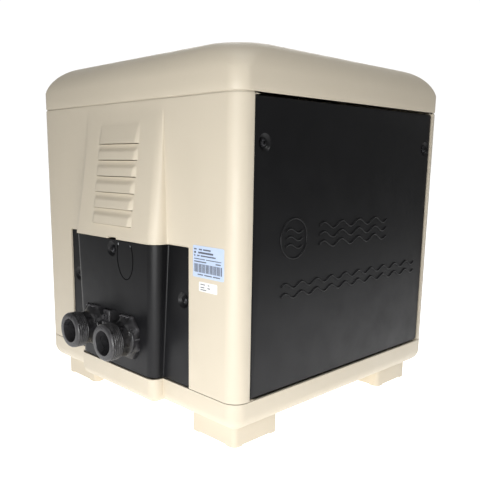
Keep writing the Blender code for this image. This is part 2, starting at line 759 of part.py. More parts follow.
def bypass_valve():
    """The spring-loaded bypass poppet in the header, its spring, and the cap that holds them."""
    x = LEFT + 0.030
    floor = HEADER_HIGH - 0.060
    holder = pivot("bypass_lift", (x, HEADER_Y, floor + 0.0005))
    poppet_profile = [
        (0, 0.016),
        (0.0030, 0.016),
        (0.0030, 0.0045),
        (0.0112, 0.0045),
        (0.0112, 0.0010),
        (0.0085, 0.0),
        (0, 0),
    ]
    poppet = turned("bypass_poppet", poppet_profile, (x, HEADER_Y, floor + 0.0005), "+Z", BRASS, steps=16)
    hang(poppet, holder)
    turns, low, high, coil_r, steps = 4, floor + 0.0062, HEADER_HIGH - 0.0130, 0.0078, 8
    count = turns * steps
    route = [
        (
            x + coil_r * math.cos(2 * math.pi * i / steps),
            HEADER_Y + coil_r * math.sin(2 * math.pi * i / steps),
            low + (high - low) * i / count,
        )
        for i in range(count + 1)
    ]
    tube("bypass_spring", route, 0.0008, STEEL, 1)
    cap_profile = [
        (0, 0.009),
        (0.011, 0.009),
        (0.013, 0.007),
        (0.013, 0.004),
        (0.018, 0.004),
        (0.018, GAP),
        (0.0120, GAP),
        (0.0120, -0.0115),
        (0, -0.0115),
    ]
    turned("bypass_cap", cap_profile, (x, HEADER_Y, HEADER_HIGH), "+Z", HEADER, steps=16)


def header_fittings():
    """What is screwed into the header: the drain plug, the temperature sensor and the water pressure switch."""
    x = LEFT + 0.028
    plug = [(0, 0), (0.0135, 0), (0.0135, -0.006), (0.0080, -0.006), (0.0080, -0.0165), (0, -0.0165)]
    turned("drain_plug", plug, (x, HEADER_Y, HEADER_LOW - 0.0065), "-Z", HEADER, steps=16)
    sensor = [(0, 0.022), (0.0040, 0.022), (0.0040, 0.010), (0.0075, 0.010), (0.0075, GAP), (0.0048, GAP)]
    sensor += [(0.0048, -0.0055), (0, -0.0055)]
    turned("water_temperature_sensor", sensor, (x, HEADER_Y - 0.066, HEADER_HIGH), "+Z", BRASS, steps=12)


def pressure_switch():
    """The water pressure switch on a bracket over the header, with the dial that sets it."""
    x, y, z = LEFT + 0.040, HEADER_Y + 0.058, HEADER_HIGH + 0.033
    body = [(0, 0.016), (0.021, 0.016), (0.023, 0.013), (0.023, 0.003), (0.010, 0), (0.010, -0.020), (0.0055, -0.020)]
    body += [(0.0055, -0.0325), (0, -0.0325)]
    turned("pressure_switch", body, (x, y, z), "+Z", ALUMINIUM, steps=16)
    holder = pivot("pressure_dial_turn", (x, y, z + 0.016))
    dial = [(0, 0.010), (0.008, 0.010), (0.009, 0.009), (0.009, GAP), (0, GAP)]
    hang(turned("pressure_dial", dial, (x, y, z + 0.016), "+Z", KEYS, steps=16), holder)


def tube_sheet():
    """The steel sheet that the header bolts to, with the water passages through it."""
    start = LEFT + HEADER_BACK + GAP
    low = (start, HEADER_Y - HEADER_HALF_Y, HEADER_LOW - 0.004)
    high = (start + SHEET_THICK, HEADER_Y + HEADER_HALF_Y, HEADER_HIGH + 0.004)
    sheet = block("tube_sheet", low, high, STEEL, 0.003, 2, side_edge)
    for side in (-1, 1):
        at = (HEADER_Y + side * STUB_Y, STUB_Z)
        cut(sheet, rod("passage", (start - 0.01, *at), (start + SHEET_THICK + 0.01, *at), 0.0185, None, 24))


def side_edge(edge):
    return along(edge, 0)


def coil():
    """The finned copper coil: a stack of rings round the burner, with its two tails to the tube sheet."""
    half = COIL_PITCH / 2
    outer, inner = [], []
    for ring in range(COIL_TUBES):
        z = COIL_LOW + (COIL_TUBES - 1 - ring) * COIL_PITCH
        outer += [(COIL_OUTER - 0.004, z + half * 0.9), (COIL_OUTER, z)]
        inner += [(COIL_INNER, z), (COIL_INNER + 0.005, z - half)]
    inner = inner[:-1]
    profile = [*outer, (COIL_OUTER - 0.004, COIL_LOW - half * 0.9), (COIL_INNER + 0.005, COIL_LOW - half * 0.9)]
    profile += [*reversed(inner), (COIL_INNER + 0.005, COIL_LOW + (COIL_TUBES - 0.6) * COIL_PITCH)]
    made = turned("heat_exchanger_coil", profile, (CHAMBER_X, CHAMBER_Y, 0), "+Z", COPPER, steps=24, ring=True)
    start = LEFT + HEADER_BACK + SHEET_THICK + 2 * GAP
    for side in (-1, 1):
        y = HEADER_Y + side * STUB_Y
        reach = math.sqrt((COIL_OUTER - 0.015) ** 2 - (y - CHAMBER_Y) ** 2)
        tail = rod("coil_tail", (start, y, STUB_Z), (CHAMBER_X - reach, y, STUB_Z), 0.0165, None, 20)
        join(made, tail)
        cut(made, rod("tail_bore", (start - 0.01, y, STUB_Z), (CHAMBER_X - reach + 0.002, y, STUB_Z), 0.0140, None, 20))
    return made


# ---------------------------------------------------------------- combustion side


def chamber():
    """The combustion chamber: a steel can with a window for the coil's tails and a port for the flue."""
    thick = 0.0015
    profile = [
        (0, CHAMBER_LOW + thick),
        (CHAMBER_R - thick, CHAMBER_LOW + thick),
        (CHAMBER_R - thick, CHAMBER_HIGH),
        (CHAMBER_R + 0.012, CHAMBER_HIGH),
        (CHAMBER_R + 0.012, CHAMBER_HIGH - thick),
        (CHAMBER_R, CHAMBER_HIGH - thick),
        (CHAMBER_R, CHAMBER_LOW),
        (0, CHAMBER_LOW),
    ]
    can = turned("combustion_chamber", profile, (CHAMBER_X, CHAMBER_Y, 0), "+Z", STEEL, steps=28)
    for side in (-1, 1):
        y = HEADER_Y + side * STUB_Y
        start, end = (CHAMBER_X - CHAMBER_R - 0.02, y, STUB_Z), (CHAMBER_X - COIL_OUTER + 0.03, y, STUB_Z)
        cut(can, rod("tail_port", start, end, 0.0185, None, 20))
    port = rod(
        "flue_port",
        (CHAMBER_X, CHAMBER_Y + CHAMBER_R - 0.03, FLUE_Z),
        (CHAMBER_X, CHAMBER_Y + CHAMBER_R + 0.02, FLUE_Z),
        FLUE_R - 0.006,
        None,
        24,
    )
    cut(can, port)
    z = CHAMBER_HIGH + GAP
    lid_profile = [(CHAMBER_R + 0.012, z + 0.003), (CHAMBER_R + 0.012, z), (BURNER_R + 0.001, z), (BURNER_R + 0.001, z + 0.003)]
    lid = turned("chamber_lid", lid_profile, (CHAMBER_X, CHAMBER_Y, 0), "+Z", STEEL, steps=28, ring=True)
    at = (CHAMBER_X + 0.070, CHAMBER_Y - 0.020)
    cut(lid, rod("igniter_hole", (*at, z - 0.01), (*at, z + 0.02), 0.0062, None, 16))
    pad = [(CHAMBER_R - 0.004, CHAMBER_LOW + 0.012), (CHAMBER_R - 0.004, CHAMBER_LOW + 0.0022)]
    pad += [(0, CHAMBER_LOW + 0.0022), (0, CHAMBER_LOW + 0.012)]
    pad = [pad[3], pad[0], pad[1], pad[2]]
    turned("chamber_insulation", pad, (CHAMBER_X, CHAMBER_Y, 0), "+Z", CERAMIC, steps=24)


def chamber_stand():
    """Three sheet-steel legs in one bracket that hold the chamber off the base."""
    low, high = FOOT_HEIGHT + BASE_WALL + GAP, CHAMBER_LOW - GAP
    outer = rounded_rectangle(0.110, 0.110, 0.010, 2, (CHAMBER_X, CHAMBER_Y))
    inner = rounded_rectangle(0.107, 0.107, 0.008, 2, (CHAMBER_X, CHAMBER_Y))
    stand = prism("chamber_stand", outer, low, high, "Z", STEEL)
    cut(stand, prism("stand_hollow", inner, low - 0.01, high + 0.01, "Z"))
    for turn in range(2):
        reach = [0.080, 0.130] if turn else [0.130, 0.080]
        corner = (CHAMBER_X + reach[0], CHAMBER_Y + reach[1], high - 0.012)
        cut(stand, block("stand_gap", (CHAMBER_X - reach[0], CHAMBER_Y - reach[1], low - 0.01), corner))
    return stand


def burner():
    """The flame holder that hangs in the coil, and the hot-surface igniter beside it."""
    z = CHAMBER_HIGH + 0.003 + 2 * GAP
    thick = 0.0015
    profile = [
        (0, z - 0.120 + thick),
        (BURNER_R - thick, z - 0.120 + thick),
        (BURNER_R - thick, z + 0.003),
        (BURNER_R + 0.014, z + 0.003),
        (BURNER_R + 0.014, z),
        (BURNER_R, z),
        (BURNER_R, z - 0.120),
        (0, z - 0.120),
    ]
    turned("burner_flame_holder", profile, (CHAMBER_X, CHAMBER_Y, 0), "+Z", STEEL, steps=20)
    top = CHAMBER_HIGH + 0.003 + 2 * GAP
    profile = [(0, 0.020), (0.0045, 0.020), (0.0045, 0.005), (0.011, 0.005), (0.011, 0), (0.0050, 0), (0.0050, -0.060)]
    profile += [(0.0025, -0.075), (0, -0.075)]
    turned("igniter", profile, (CHAMBER_X + 0.070, CHAMBER_Y - 0.020, top), "+Z", CERAMIC, steps=16)


def flue():
    """The flue pipe through the rear panel, and its vent terminal."""
    start = CHAMBER_Y + math.sqrt(CHAMBER_R**2 - FLUE_R**2) + 0.012
    end = REAR + FLUE_PROUD
    pipe = rod("flue_pipe", (CHAMBER_X, start, FLUE_Z), (CHAMBER_X, end, FLUE_Z), FLUE_R, STEEL, 24)
    collar_end = CHAMBER_Y + CHAMBER_R + 0.012
    join(pipe, rod("flue_collar", (CHAMBER_X, CHAMBER_Y + 0.1, FLUE_Z), (CHAMBER_X, collar_end, FLUE_Z), FLUE_R + 0.006, None, 24))
    can = rod("collar_fit", (CHAMBER_X, CHAMBER_Y, 0), (CHAMBER_X, CHAMBER_Y, 0.5), CHAMBER_R + 0.0015, None, 40)
    bore = rod("flue_bore", (CHAMBER_X, CHAMBER_Y, FLUE_Z), (CHAMBER_X, REAR + 0.1, FLUE_Z), FLUE_R - 0.002, None, 24)
    cut(pipe, can, bore)
    face = REAR + GAP
    outer = FLUE_R + 0.016
    profile = [
        (outer, 0.004),
        (outer, 0),
        (FLUE_R + 0.0012, 0),
        (FLUE_R + 0.0012, FLUE_PROUD + 0.004),
        (0, FLUE_PROUD + 0.004),
        (0, FLUE_PROUD + 0.009),
        (FLUE_R + 0.001, FLUE_PROUD + 0.009),
        (FLUE_R + 0.005, FLUE_PROUD + 0.005),
        (FLUE_R + 0.005, 0.004),
    ]
    profile = [profile[5], *profile[6:], *profile[:5]]
    vent = turned("vent_terminal", profile, (CHAMBER_X, face, FLUE_Z), "+Y", BLACK, steps=24)
    for i in range(-3, 4):
        z = FLUE_Z + i * 0.0120
        reach = math.sqrt((FLUE_R - 0.006) ** 2 - (z - FLUE_Z) ** 2)
        low = (CHAMBER_X - reach, face + FLUE_PROUD - 0.002, z - 0.0040)
        cut(vent, block("vent_slot", low, (CHAMBER_X + reach, face + FLUE_PROUD + 0.020, z + 0.0040)))
    return vent


def scroll_outline(inset, low):
    """The blower's scroll round its axis, widening clockwise until it turns down into the outlet duct."""
    outline = [(SCROLL_LARGE - inset, low), (SCROLL_LARGE - inset, 0)]
    steps, sweep = 14, 308
    for i in range(1, steps + 1):
        a = sweep * i / steps
        r = SCROLL_LARGE + (SCROLL_SMALL - SCROLL_LARGE) * a / 330 - inset
        outline.append((r * math.cos(math.radians(a)), r * math.sin(math.radians(a))))
    outline[-1] = (DUCT_INNER + inset, outline[-1][1])
    outline.append((DUCT_INNER + inset, low))
    return [(BLOWER_X + x, BLOWER_Z + z) for x, z in outline]


def blower():
    """The blower: a cast scroll, its back plate, the motor behind it and the impeller on the motor's shaft."""
    front, back = BLOWER_Y - SCROLL_DEPTH / 2, BLOWER_Y + SCROLL_DEPTH / 2
    foot = CHAMBER_HIGH + 0.006 + 3 * GAP
    drop = foot - BLOWER_Z
    scroll = prism("blower_scroll", scroll_outline(0, drop), front, back, "Y", ALUMINIUM)
    flange_low = (CHAMBER_X - 0.040, BLOWER_Y - 0.040, foot)
    join(scroll, block("outlet_flange", flange_low, (CHAMBER_X + 0.040, BLOWER_Y + 0.040, foot + 0.005), None, 0.006, 2, upright))
    cut(scroll, prism("scroll_hollow", scroll_outline(SCROLL_WALL, drop - 0.01), front + SCROLL_WALL, back + 0.01, "Y"))
    cut(scroll, rod("inlet_hole", (BLOWER_X, front - 0.01, BLOWER_Z), (BLOWER_X, front + 0.01, BLOWER_Z), 0.030, None, 20))
    plate_back = back + GAP + 0.0025
    plate = prism("blower_back_plate", scroll_outline(0, -0.070), back + GAP, plate_back, "Y", ALUMINIUM)
    cut(plate, rod("shaft_hole", (BLOWER_X, back - 0.01, BLOWER_Z), (BLOWER_X, back + 0.02, BLOWER_Z), SHAFT_R + 0.003, None, 20))
    motor_start = plate_back + GAP
    end = motor_start + MOTOR_LENGTH
    profile = [
        (SHAFT_R + 0.002, MOTOR_LENGTH),
        (MOTOR_R - 0.010, MOTOR_LENGTH),
        (MOTOR_R, MOTOR_LENGTH - 0.010),
        (MOTOR_R, 0.004),
        (MOTOR_R + 0.004, 0.004),
        (MOTOR_R + 0.004, 0),
        (SHAFT_R + 0.002, 0),
    ]
    place = (BLOWER_X, motor_start, BLOWER_Z)
    turned("blower_motor", profile, place, "+Y", MOTOR, steps=20, ring=True)
    holder = pivot("impeller_spin", (BLOWER_X, BLOWER_Y, BLOWER_Z))
    hang(impeller(back - 0.012, end + 0.006), holder)
    mixer(front)


def impeller(back, shaft_end):
    """The rotor: a disc with a ring of leaning blades, a hub and the shaft that runs back through the motor."""
    front = back - IMPELLER_DEPTH
    disc = rod("blower_impeller", (BLOWER_X, back - 0.003, BLOWER_Z), (BLOWER_X, back, BLOWER_Z), IMPELLER_R, MOTOR, 24)
    join(disc, rod("impeller_hub", (BLOWER_X, back - 0.016, BLOWER_Z), (BLOWER_X, back - 0.001, BLOWER_Z), 0.009, None, 16))
    join(disc, rod("motor_shaft", (BLOWER_X, back - 0.010, BLOWER_Z), (BLOWER_X, shaft_end, BLOWER_Z), SHAFT_R, None, 16))
    ring_profile = [(IMPELLER_R, 0.003), (IMPELLER_R, 0), (0.030, 0), (0.030, 0.003)]
    for i in range(BLADES):
        around = Matrix.Rotation(2 * math.pi * i / BLADES, 4, "Y")
        lean = Matrix.Rotation(math.radians(32), 4, "Y")
        size = Matrix.Diagonal((0.021, IMPELLER_DEPTH - 0.003, 0.0018, 1))
        bm = bmesh.new()
        place = Matrix.Translation((BLOWER_X, (front + back) / 2 - 0.0005, BLOWER_Z))
        bmesh.ops.create_cube(bm, size=1, matrix=place @ around @ Matrix.Translation((0.0360, 0, 0)) @ lean @ size)
        join(disc, add("blade", mesh_of("blade", bm)))
    shroud = turned("shroud", ring_profile, (BLOWER_X, front + 0.003, BLOWER_Z), "-Y", steps=24, ring=True)
    return join(disc, shroud)


def mixer(front):
    """The venturi that mixes gas and air at the blower's inlet."""
    profile = [
        (0.034, 0.042),
        (0.026, 0.024),
        (0.028, 0.005),
        (0.036, 0.005),
        (0.036, 0),
        (0.0250, 0),
        (0.0225, 0.024),
        (0.031, 0.042),
    ]
    made = turned("gas_air_mixer", profile, (BLOWER_X, front - GAP, BLOWER_Z), "-Y", ALUMINIUM, steps=20, ring=True)
    y = front - GAP - 0.018
    join(made, rod("gas_port", (BLOWER_X + 0.0245, y, BLOWER_Z), (BLOWER_X + 0.042, y, BLOWER_Z), 0.0090, None, 18))
    return made


def gas_train():
    """The gas valve with its knob, the pipe that comes in through the right side, and the tube to the mixer."""
    half = (0.040, 0.030, 0.028)
    at = Vector((VALVE_X, VALVE_Y, VALVE_Z))
    body = block("gas_valve", at - Vector(half), at + Vector(half), ALUMINIUM, 0.004, 1)
    join(body, block("valve_head", at + Vector((-0.030, -0.022, 0.020)), at + Vector((0.006, 0.022, 0.048)), None, 0.004, 1))
    join(body, rod("valve_boss", at + Vector((0.030, 0, 0)), at + Vector((0.052, 0, 0)), 0.018, None, 18))
    cut(body, rod("valve_seat", at + Vector((0.034, 0, 0)), at + Vector((0.060, 0, 0)), GAS_PIPE_R + GAP, None, 18))
    join(body, rod("outlet_boss", at + Vector((-0.052, 0, 0)), at + Vector((-0.030, 0, 0)), 0.013, None, 14))
    cut(body, rod("outlet_seat", at + Vector((-0.060, 0, 0)), at + Vector((-0.036, 0, 0)), 0.0070 + GAP, None, 12))
    knob_at = at + Vector((0.024, 0, half[2]))
    holder = pivot("gas_knob_turn", knob_at)
    knob = rod("gas_valve_knob", knob_at + Vector((0, 0, GAP)), knob_at + Vector((0, 0, 0.014)), 0.0125, KEYS, 20)
    join(knob, block("knob_grip", knob_at + Vector((-0.0035, -0.0140, 0.010)), knob_at + Vector((0.0035, 0.0140, 0.022))))
    hang(knob, holder)
    pipe_start = VALVE_X + 0.036
    end = RIGHT + GAS_PROUD
    outline = [(GAS_PIPE_R - 0.001, end - pipe_start), (GAS_PIPE_R, end - pipe_start - 0.002), (GAS_PIPE_R, 0)]
    outline += [(GAS_BORE_R, 0), (GAS_BORE_R, end - pipe_start)]
    turned("gas_inlet_pipe", outline, (pipe_start, VALVE_Y, VALVE_Z), "+X", STEEL, steps=20, ring=True)
    grommet = [(0.0255, 0.0040), (0.0255, GAP), (0.0180, GAP), (0.0180, -WALL - 0.002), (GAS_PIPE_R + GAP, -WALL - 0.002)]
    grommet += [(GAS_PIPE_R + GAP, 0.0040)]
    turned("gas_pipe_grommet", grommet, (RIGHT, VALVE_Y, VALVE_Z), "+X", RUBBER, steps=20, ring=True)
    front = BLOWER_Y - SCROLL_DEPTH / 2
    mixer_port = Vector((BLOWER_X + 0.042 + GAP, front - GAP - 0.018, BLOWER_Z))
    start = Vector((VALVE_X - 0.037, VALVE_Y, VALVE_Z))
    route = smooth_route(
        [
            start,
            start + Vector((-0.010, 0, 0)),
            start + Vector((-0.020, 0, 0)),
            start + Vector((-0.028, 0, 0)),
            (start.x - 0.055, VALVE_Y + 0.010, VALVE_Z + 0.025),
            (start.x - 0.060, VALVE_Y + 0.040, VALVE_Z + 0.110),
            (mixer_port.x + 0.080, mixer_port.y - 0.020, BLOWER_Z - 0.022),
            mixer_port + Vector((0.035, 0, 0)),
            mixer_port + Vector((0.012, 0, 0)),
            mixer_port + Vector((0.0006, 0, 0)),
        ],
        0.016,
    )
    tube("gas_supply_tube", route, 0.0070, ALUMINIUM, 1)


# ---------------------------------------------------------------- electrics and controls


def electrics():
    """The junction box on the right wall with its cover, transformer, ignition module and the main cable."""
    low, high = Vector((0.178, 0.100, 0.120)), Vector((RIGHT - WALL - 0.002, 0.220, 0.300))
    box = block("junction_box", low, high, STEEL)
    inset = Vector((0, 0.0015, 0.0015))
    cut(box, block("box_hollow", low + inset - Vector((0.01, 0, 0)), high - inset - Vector((0.0015, 0, 0))))
    cut(box, rod("box_conduit", (high.x - 0.01, 0.16, 0.16), (high.x + 0.01, 0.16, 0.16), 0.0115, None, 20))
    cut(box, rod("box_cable_hole", (0.20, 0.16, high.z - 0.01), (0.20, 0.16, high.z + 0.01), 0.0075, None, 16))
    cover = low - Vector((0.0020, 0, 0))
    cover_high = Vector((low.x - GAP, high.y, high.z))
    block("junction_box_cover", cover, cover_high, STEEL, 0.0005, 1)
    core = Vector((0.205, 0.112, 0.205))
    transformer = block("transformer", core, core + Vector((0.040, 0.044, 0.040)), MOTOR, 0.003, 2)
    join(transformer, block("winding", core + Vector((-0.006, 0.008, 0.008)), core + Vector((0.046, 0.036, 0.032)), None, 0.004, 2))
    module = Vector((0.195, 0.165, 0.185))
    block("ignition_module", module, module + Vector((0.045, 0.046, 0.090)), BOARD, 0.003, 2)
    bushing = [(0.0150, 0.006), (0.0150, GAP), (0.0110, GAP), (0.0110, -0.0115), (0.0080, -0.0115), (0.0080, 0.006)]
    turned("conduit_bushing", bushing, (RIGHT, 0.16, 0.16), "+X", RUBBER, steps=20, ring=True)
    board_z = TOP - 0.030
    route = smooth_route(
        [
            (0.20, 0.16, high.z - 0.008),
            (0.20, 0.16, high.z + 0.040),
            (0.185, 0.120, 0.430),
            (0.150, 0.030, 0.505),
            (0.100, -0.040, 0.530),
            (0.052, -0.092, board_z - 0.024),
            (0.048, -0.098, board_z - 0.012),
            (0.048, -0.098, board_z - 0.0012),
        ],
        0.018,
    )
    tube("control_cable", route, 0.0045, CABLE, 1)
    igniter_top = Vector((CHAMBER_X + 0.070, CHAMBER_Y - 0.020, CHAMBER_HIGH + 0.003 + 3 * GAP + 0.020))
    route = smooth_route(
        [
            igniter_top + Vector((0, 0, 0.001)),
            igniter_top + Vector((0, 0, 0.010)),
            igniter_top + Vector((0, 0, 0.020)),
            igniter_top + Vector((0.030, 0.020, 0.042)),
            (0.120, 0.090, 0.365),
            (0.172, 0.140, 0.340),
            (0.215, 0.150, high.z + 0.030),
            (0.220, 0.150, high.z + GAP),
        ],
        0.014,
    )
    tube("igniter_lead", route, 0.0028, CABLE, 1)


def control_panel():
    """The control panel let into the lid: bezel, display window, five keys, circuit board and a flip-up cover."""
    top = TOP - PANEL_DROP
    outer = rounded_rectangle(PANEL_HALF_X - GAP, PANEL_HALF_Y - GAP, 0.0095, 3, (0, PANEL_Y))
    bezel = prism("control_bezel", outer, TOP - WALL - 0.016, TOP - 0.0010, "Z", BLACK)
    well = rounded_rectangle(PANEL_HALF_X - 0.006, PANEL_HALF_Y - 0.006, 0.006, 3, (0, PANEL_Y))
    cut(bezel, prism("bezel_well", well, top, TOP + 0.01, "Z"))
    window = [(-0.045, DISPLAY_Y - 0.014), (0.045, DISPLAY_Y + 0.014)]
    cut(bezel, block("display_opening", (*window[0], TOP - 0.04), (*window[1], TOP + 0.01)))
    lens_low = (window[0][0] + GAP, window[0][1] + GAP, top - 0.0030)
    block("display_lens", lens_low, (window[1][0] - GAP, window[1][1] - GAP, top + 0.0004), SMOKE, 0.0006, 1)
    names = ("pool_key", "spa_key", "off_key", "down_key", "up_key")
    for i, name in enumerate(names):
        x = (i - 2) * KEY_PITCH
        low = (x - KEY_HALF_X, KEY_Y - KEY_HALF_Y, top - 0.0035)
        high = (x + KEY_HALF_X, KEY_Y + KEY_HALF_Y, top + 0.0020)
        clear = Vector((0.0006, 0.0006, 0))
        hole_low, hole_high = Vector(low) - clear, Vector(high) + clear
        hole_low.z, hole_high.z = TOP - 0.04, TOP
        cut(bezel, block("key_hole", hole_low, hole_high, None, 0.0030, 2, upright))
        key = block(name, low, high, KEYS, 0.0026, 2, upright)
        hang(key, pivot(name + "_press", (x, KEY_Y, top + 0.0020)))
    board_z = TOP - 0.030
    half_x, half_y = PANEL_HALF_X - 0.012, PANEL_HALF_Y - 0.008
    board = block("control_board", (-half_x, PANEL_Y - half_y, board_z), (half_x, PANEL_Y + half_y, board_z + 0.0016), BOARD)
    for i in range(len(names)):
        x = (i - 2) * KEY_PITCH
        low = (x - 0.003, KEY_Y - 0.003, board_z + 0.0010)
        join(board, block("key_switch", low, (x + 0.003, KEY_Y + 0.003, top - 0.0035 - KEY_TRAVEL - GAP)))
    low = (-0.040, DISPLAY_Y - 0.012, board_z + 0.0010)
    join(board, block("display_module", low, (0.040, DISPLAY_Y + 0.012, top - 0.0030 - GAP), None, 0.001, 1))
    flip_cover()


def flip_cover():
    """The cover that flips up off the control panel, on a pin along its rear edge."""
    hinge_y, hinge_z = HINGE_Y, HINGE_Z
    low = (-PANEL_HALF_X - 0.008, PANEL_Y - PANEL_HALF_Y - 0.008, TOP + 0.0020)
    high = (PANEL_HALF_X + 0.008, hinge_y - 0.0060, TOP + 0.0020 + COVER_THICK + 0.003)

    def outer_edge(edge):
        return upright(edge) or min(v.co.z for v in edge.verts) > TOP + 0.004

    cover = block("flip_cover", low, high, SMOKE, 0.0030, 1, outer_edge)
    hollow_low = (low[0] + 0.0025, low[1] + 0.0025, TOP - 0.01)
    hollow_high = (high[0] - 0.0025, high[1] - 0.0025, high[2] - 0.0025)
    cut(cover, block("cover_hollow", hollow_low, hollow_high))
    for x in (-EAR_X, EAR_X):
        ear = rod("cover_ear", (x - 0.008, hinge_y, hinge_z), (x + 0.008, hinge_y, hinge_z), 0.0038, None, 12)
        arm = block("cover_arm", (x - 0.008, high[1] - 0.003, TOP + 0.0022), (x + 0.008, hinge_y, TOP + 0.0075))
        join(cover, arm, ear)
    reach = 0.075
    cut(cover, rod("pin_bore", (-reach, hinge_y, hinge_z), (reach, hinge_y, hinge_z), PIN_R + 0.0003, None, 10))
    hang(cover, pivot("flip_cover_hinge", (0, hinge_y, hinge_z)))
    rod("flip_cover_pin", (-PIN_REACH, hinge_y, hinge_z), (PIN_REACH, hinge_y, hinge_z), PIN_R, STEEL, 16)


def place_origin():
    """Moves everything so that the origin is the middle of the whole box, at the floor."""
    low_x, high_x = LEFT - STUB_END, RIGHT + GAS_PROUD
    low_y, high_y = FRONT - 0.0, REAR + GAP + FLUE_PROUD + 0.009
    ORIGIN.location = (-(low_x + high_x) / 2, -(low_y + high_y) / 2, 0)


def main():
    base_pan()
    left_jacket()
    right_jacket()
    rear_panel()
    front_service_panel()
    top_lid()
    upper_frame()
    plumbing_cover()
    header_manifold()
    bypass_valve()
    header_fittings()
    pressure_switch()
    tube_sheet()
    coil()
    chamber()
    chamber_stand()
    burner()
    flue()
    blower()
    gas_train()
    electrics()
    control_panel()
    place_origin()


main()
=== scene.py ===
"""The pool heater's looks: finer outer skins, threads, screws, labels and panel relief, materials, light and camera."""

import json
import math

import bmesh
import bpy
from mathutils import Matrix, Vector


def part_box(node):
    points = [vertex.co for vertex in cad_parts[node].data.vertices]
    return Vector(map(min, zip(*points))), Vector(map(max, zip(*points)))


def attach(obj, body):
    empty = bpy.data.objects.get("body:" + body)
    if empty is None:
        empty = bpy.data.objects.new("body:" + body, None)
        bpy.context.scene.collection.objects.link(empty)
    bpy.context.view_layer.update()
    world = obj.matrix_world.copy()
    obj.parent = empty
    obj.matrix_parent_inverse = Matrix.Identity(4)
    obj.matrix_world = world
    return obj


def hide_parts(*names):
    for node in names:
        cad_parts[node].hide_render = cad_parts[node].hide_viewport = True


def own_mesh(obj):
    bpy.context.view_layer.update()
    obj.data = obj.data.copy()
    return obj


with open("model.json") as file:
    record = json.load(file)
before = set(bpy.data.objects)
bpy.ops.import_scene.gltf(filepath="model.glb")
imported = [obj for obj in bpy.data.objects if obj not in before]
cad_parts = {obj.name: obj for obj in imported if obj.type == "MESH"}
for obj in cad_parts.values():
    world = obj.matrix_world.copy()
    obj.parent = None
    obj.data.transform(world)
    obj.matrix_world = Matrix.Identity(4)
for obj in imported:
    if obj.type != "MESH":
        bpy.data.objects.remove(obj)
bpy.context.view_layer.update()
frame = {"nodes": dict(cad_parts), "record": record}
NODES = frame["nodes"]

# Every length is in metres. The cabinet's plan comes from the lid's box.
LID_LOW, LID_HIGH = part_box("top_lid")
CX, CY = (LID_LOW.x + LID_HIGH.x) / 2, (LID_LOW.y + LID_HIGH.y) / 2
WIDTH, DEPTH = LID_HIGH.x - LID_LOW.x, LID_HIGH.y - LID_LOW.y
LEFT, RIGHT, FRONT, REAR = LID_LOW.x, LID_HIGH.x, LID_LOW.y, LID_HIGH.y
TOP = 0.586
SEAM_LOW, SEAM_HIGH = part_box("base_pan")[1].z, LID_LOW.z
JACKET_LOW, JACKET_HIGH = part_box("left_jacket")[0].z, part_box("left_jacket")[1].z
FOOT_HEIGHT, FOOT_SIDE, FOOT_INSET = 0.035, 0.098, 0.0243
CORNER, MARGIN, LIP, WALL = 0.025, 0.031, 0.012, 0.003
LID_ROUND, LID_TOP_CORNER = 0.041, 0.062

# The left side's swelling, with half widths at its top, cut line and foot, and the plumbing cover over its lower part.
BULGE_TOP_Z, BULGE_CUT_Z = 0.503, 0.2985
BULGE_WIDE, BULGE_LOW = 0.0278, 0.0205
BULGE_FRONT, BULGE_REAR = (0.107, 0.116, 0.100), (0.102, 0.117, 0.117)
BULGE_ROUND = 0.019
COVER_FRONT, COVER_REAR, COVER_SET_BACK = -0.1650, 0.1710, 0.0022
COVER_LOW, COVER_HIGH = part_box("plumbing_cover")[0].z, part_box("plumbing_cover")[1].z
OPENING_Y, OPENING_HALF, OPENING_LOW, OPENING_HIGH = 0.0150, 0.0825, 0.1035, 0.1770

# The louvres, and the small notch in the cream face's lower edge.
LOUVRE_COUNT, LOUVRE_PITCH = 6, 0.0258
LOUVRE_HALF, LOUVRE_HIGH, LOUVRE_PROUD, LOUVRE_SLOT = 0.0570, 0.0205, 0.0048, 0.0013
LOUVRE_TOP_Z = 0.4500
NOTCH_REAR, NOTCH_FRONT, NOTCH_TOP = (0.0068, 0.0060), (-0.0160, -0.0168), BULGE_CUT_Z + 0.0028

# The water header, with its two threaded stubs.
STUB_END, STUB_Y, STUB_Z = 0.0720, 0.0508, 0.1385
STUB_OUTER, STUB_BORE, STUB_NECK, HEADER_Y = 0.03015, 0.0200, 0.0270, 0.0125
THREAD_PITCH, THREAD_LONG, THREAD_DEPTH = 0.0034, 0.0190, 0.0013

PANEL_LOW, PANEL_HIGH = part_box("front_service_panel")
CONTROL_Y = CY - 0.115
CONTROL_HALF_X, CONTROL_HALF_Y = 0.095, 0.060
PANEL_SCREW_X, PANEL_SCREW_Z = (-0.213, 0.2225), 0.4490
LID_SCREW_X, LID_SCREW_Z = (-0.16, 0.16), 0.532
SIDES = ("left", "right")
CUT, JOIN = "DIFFERENCE", "UNION"
SKY = 0.19


# ---------------- materials


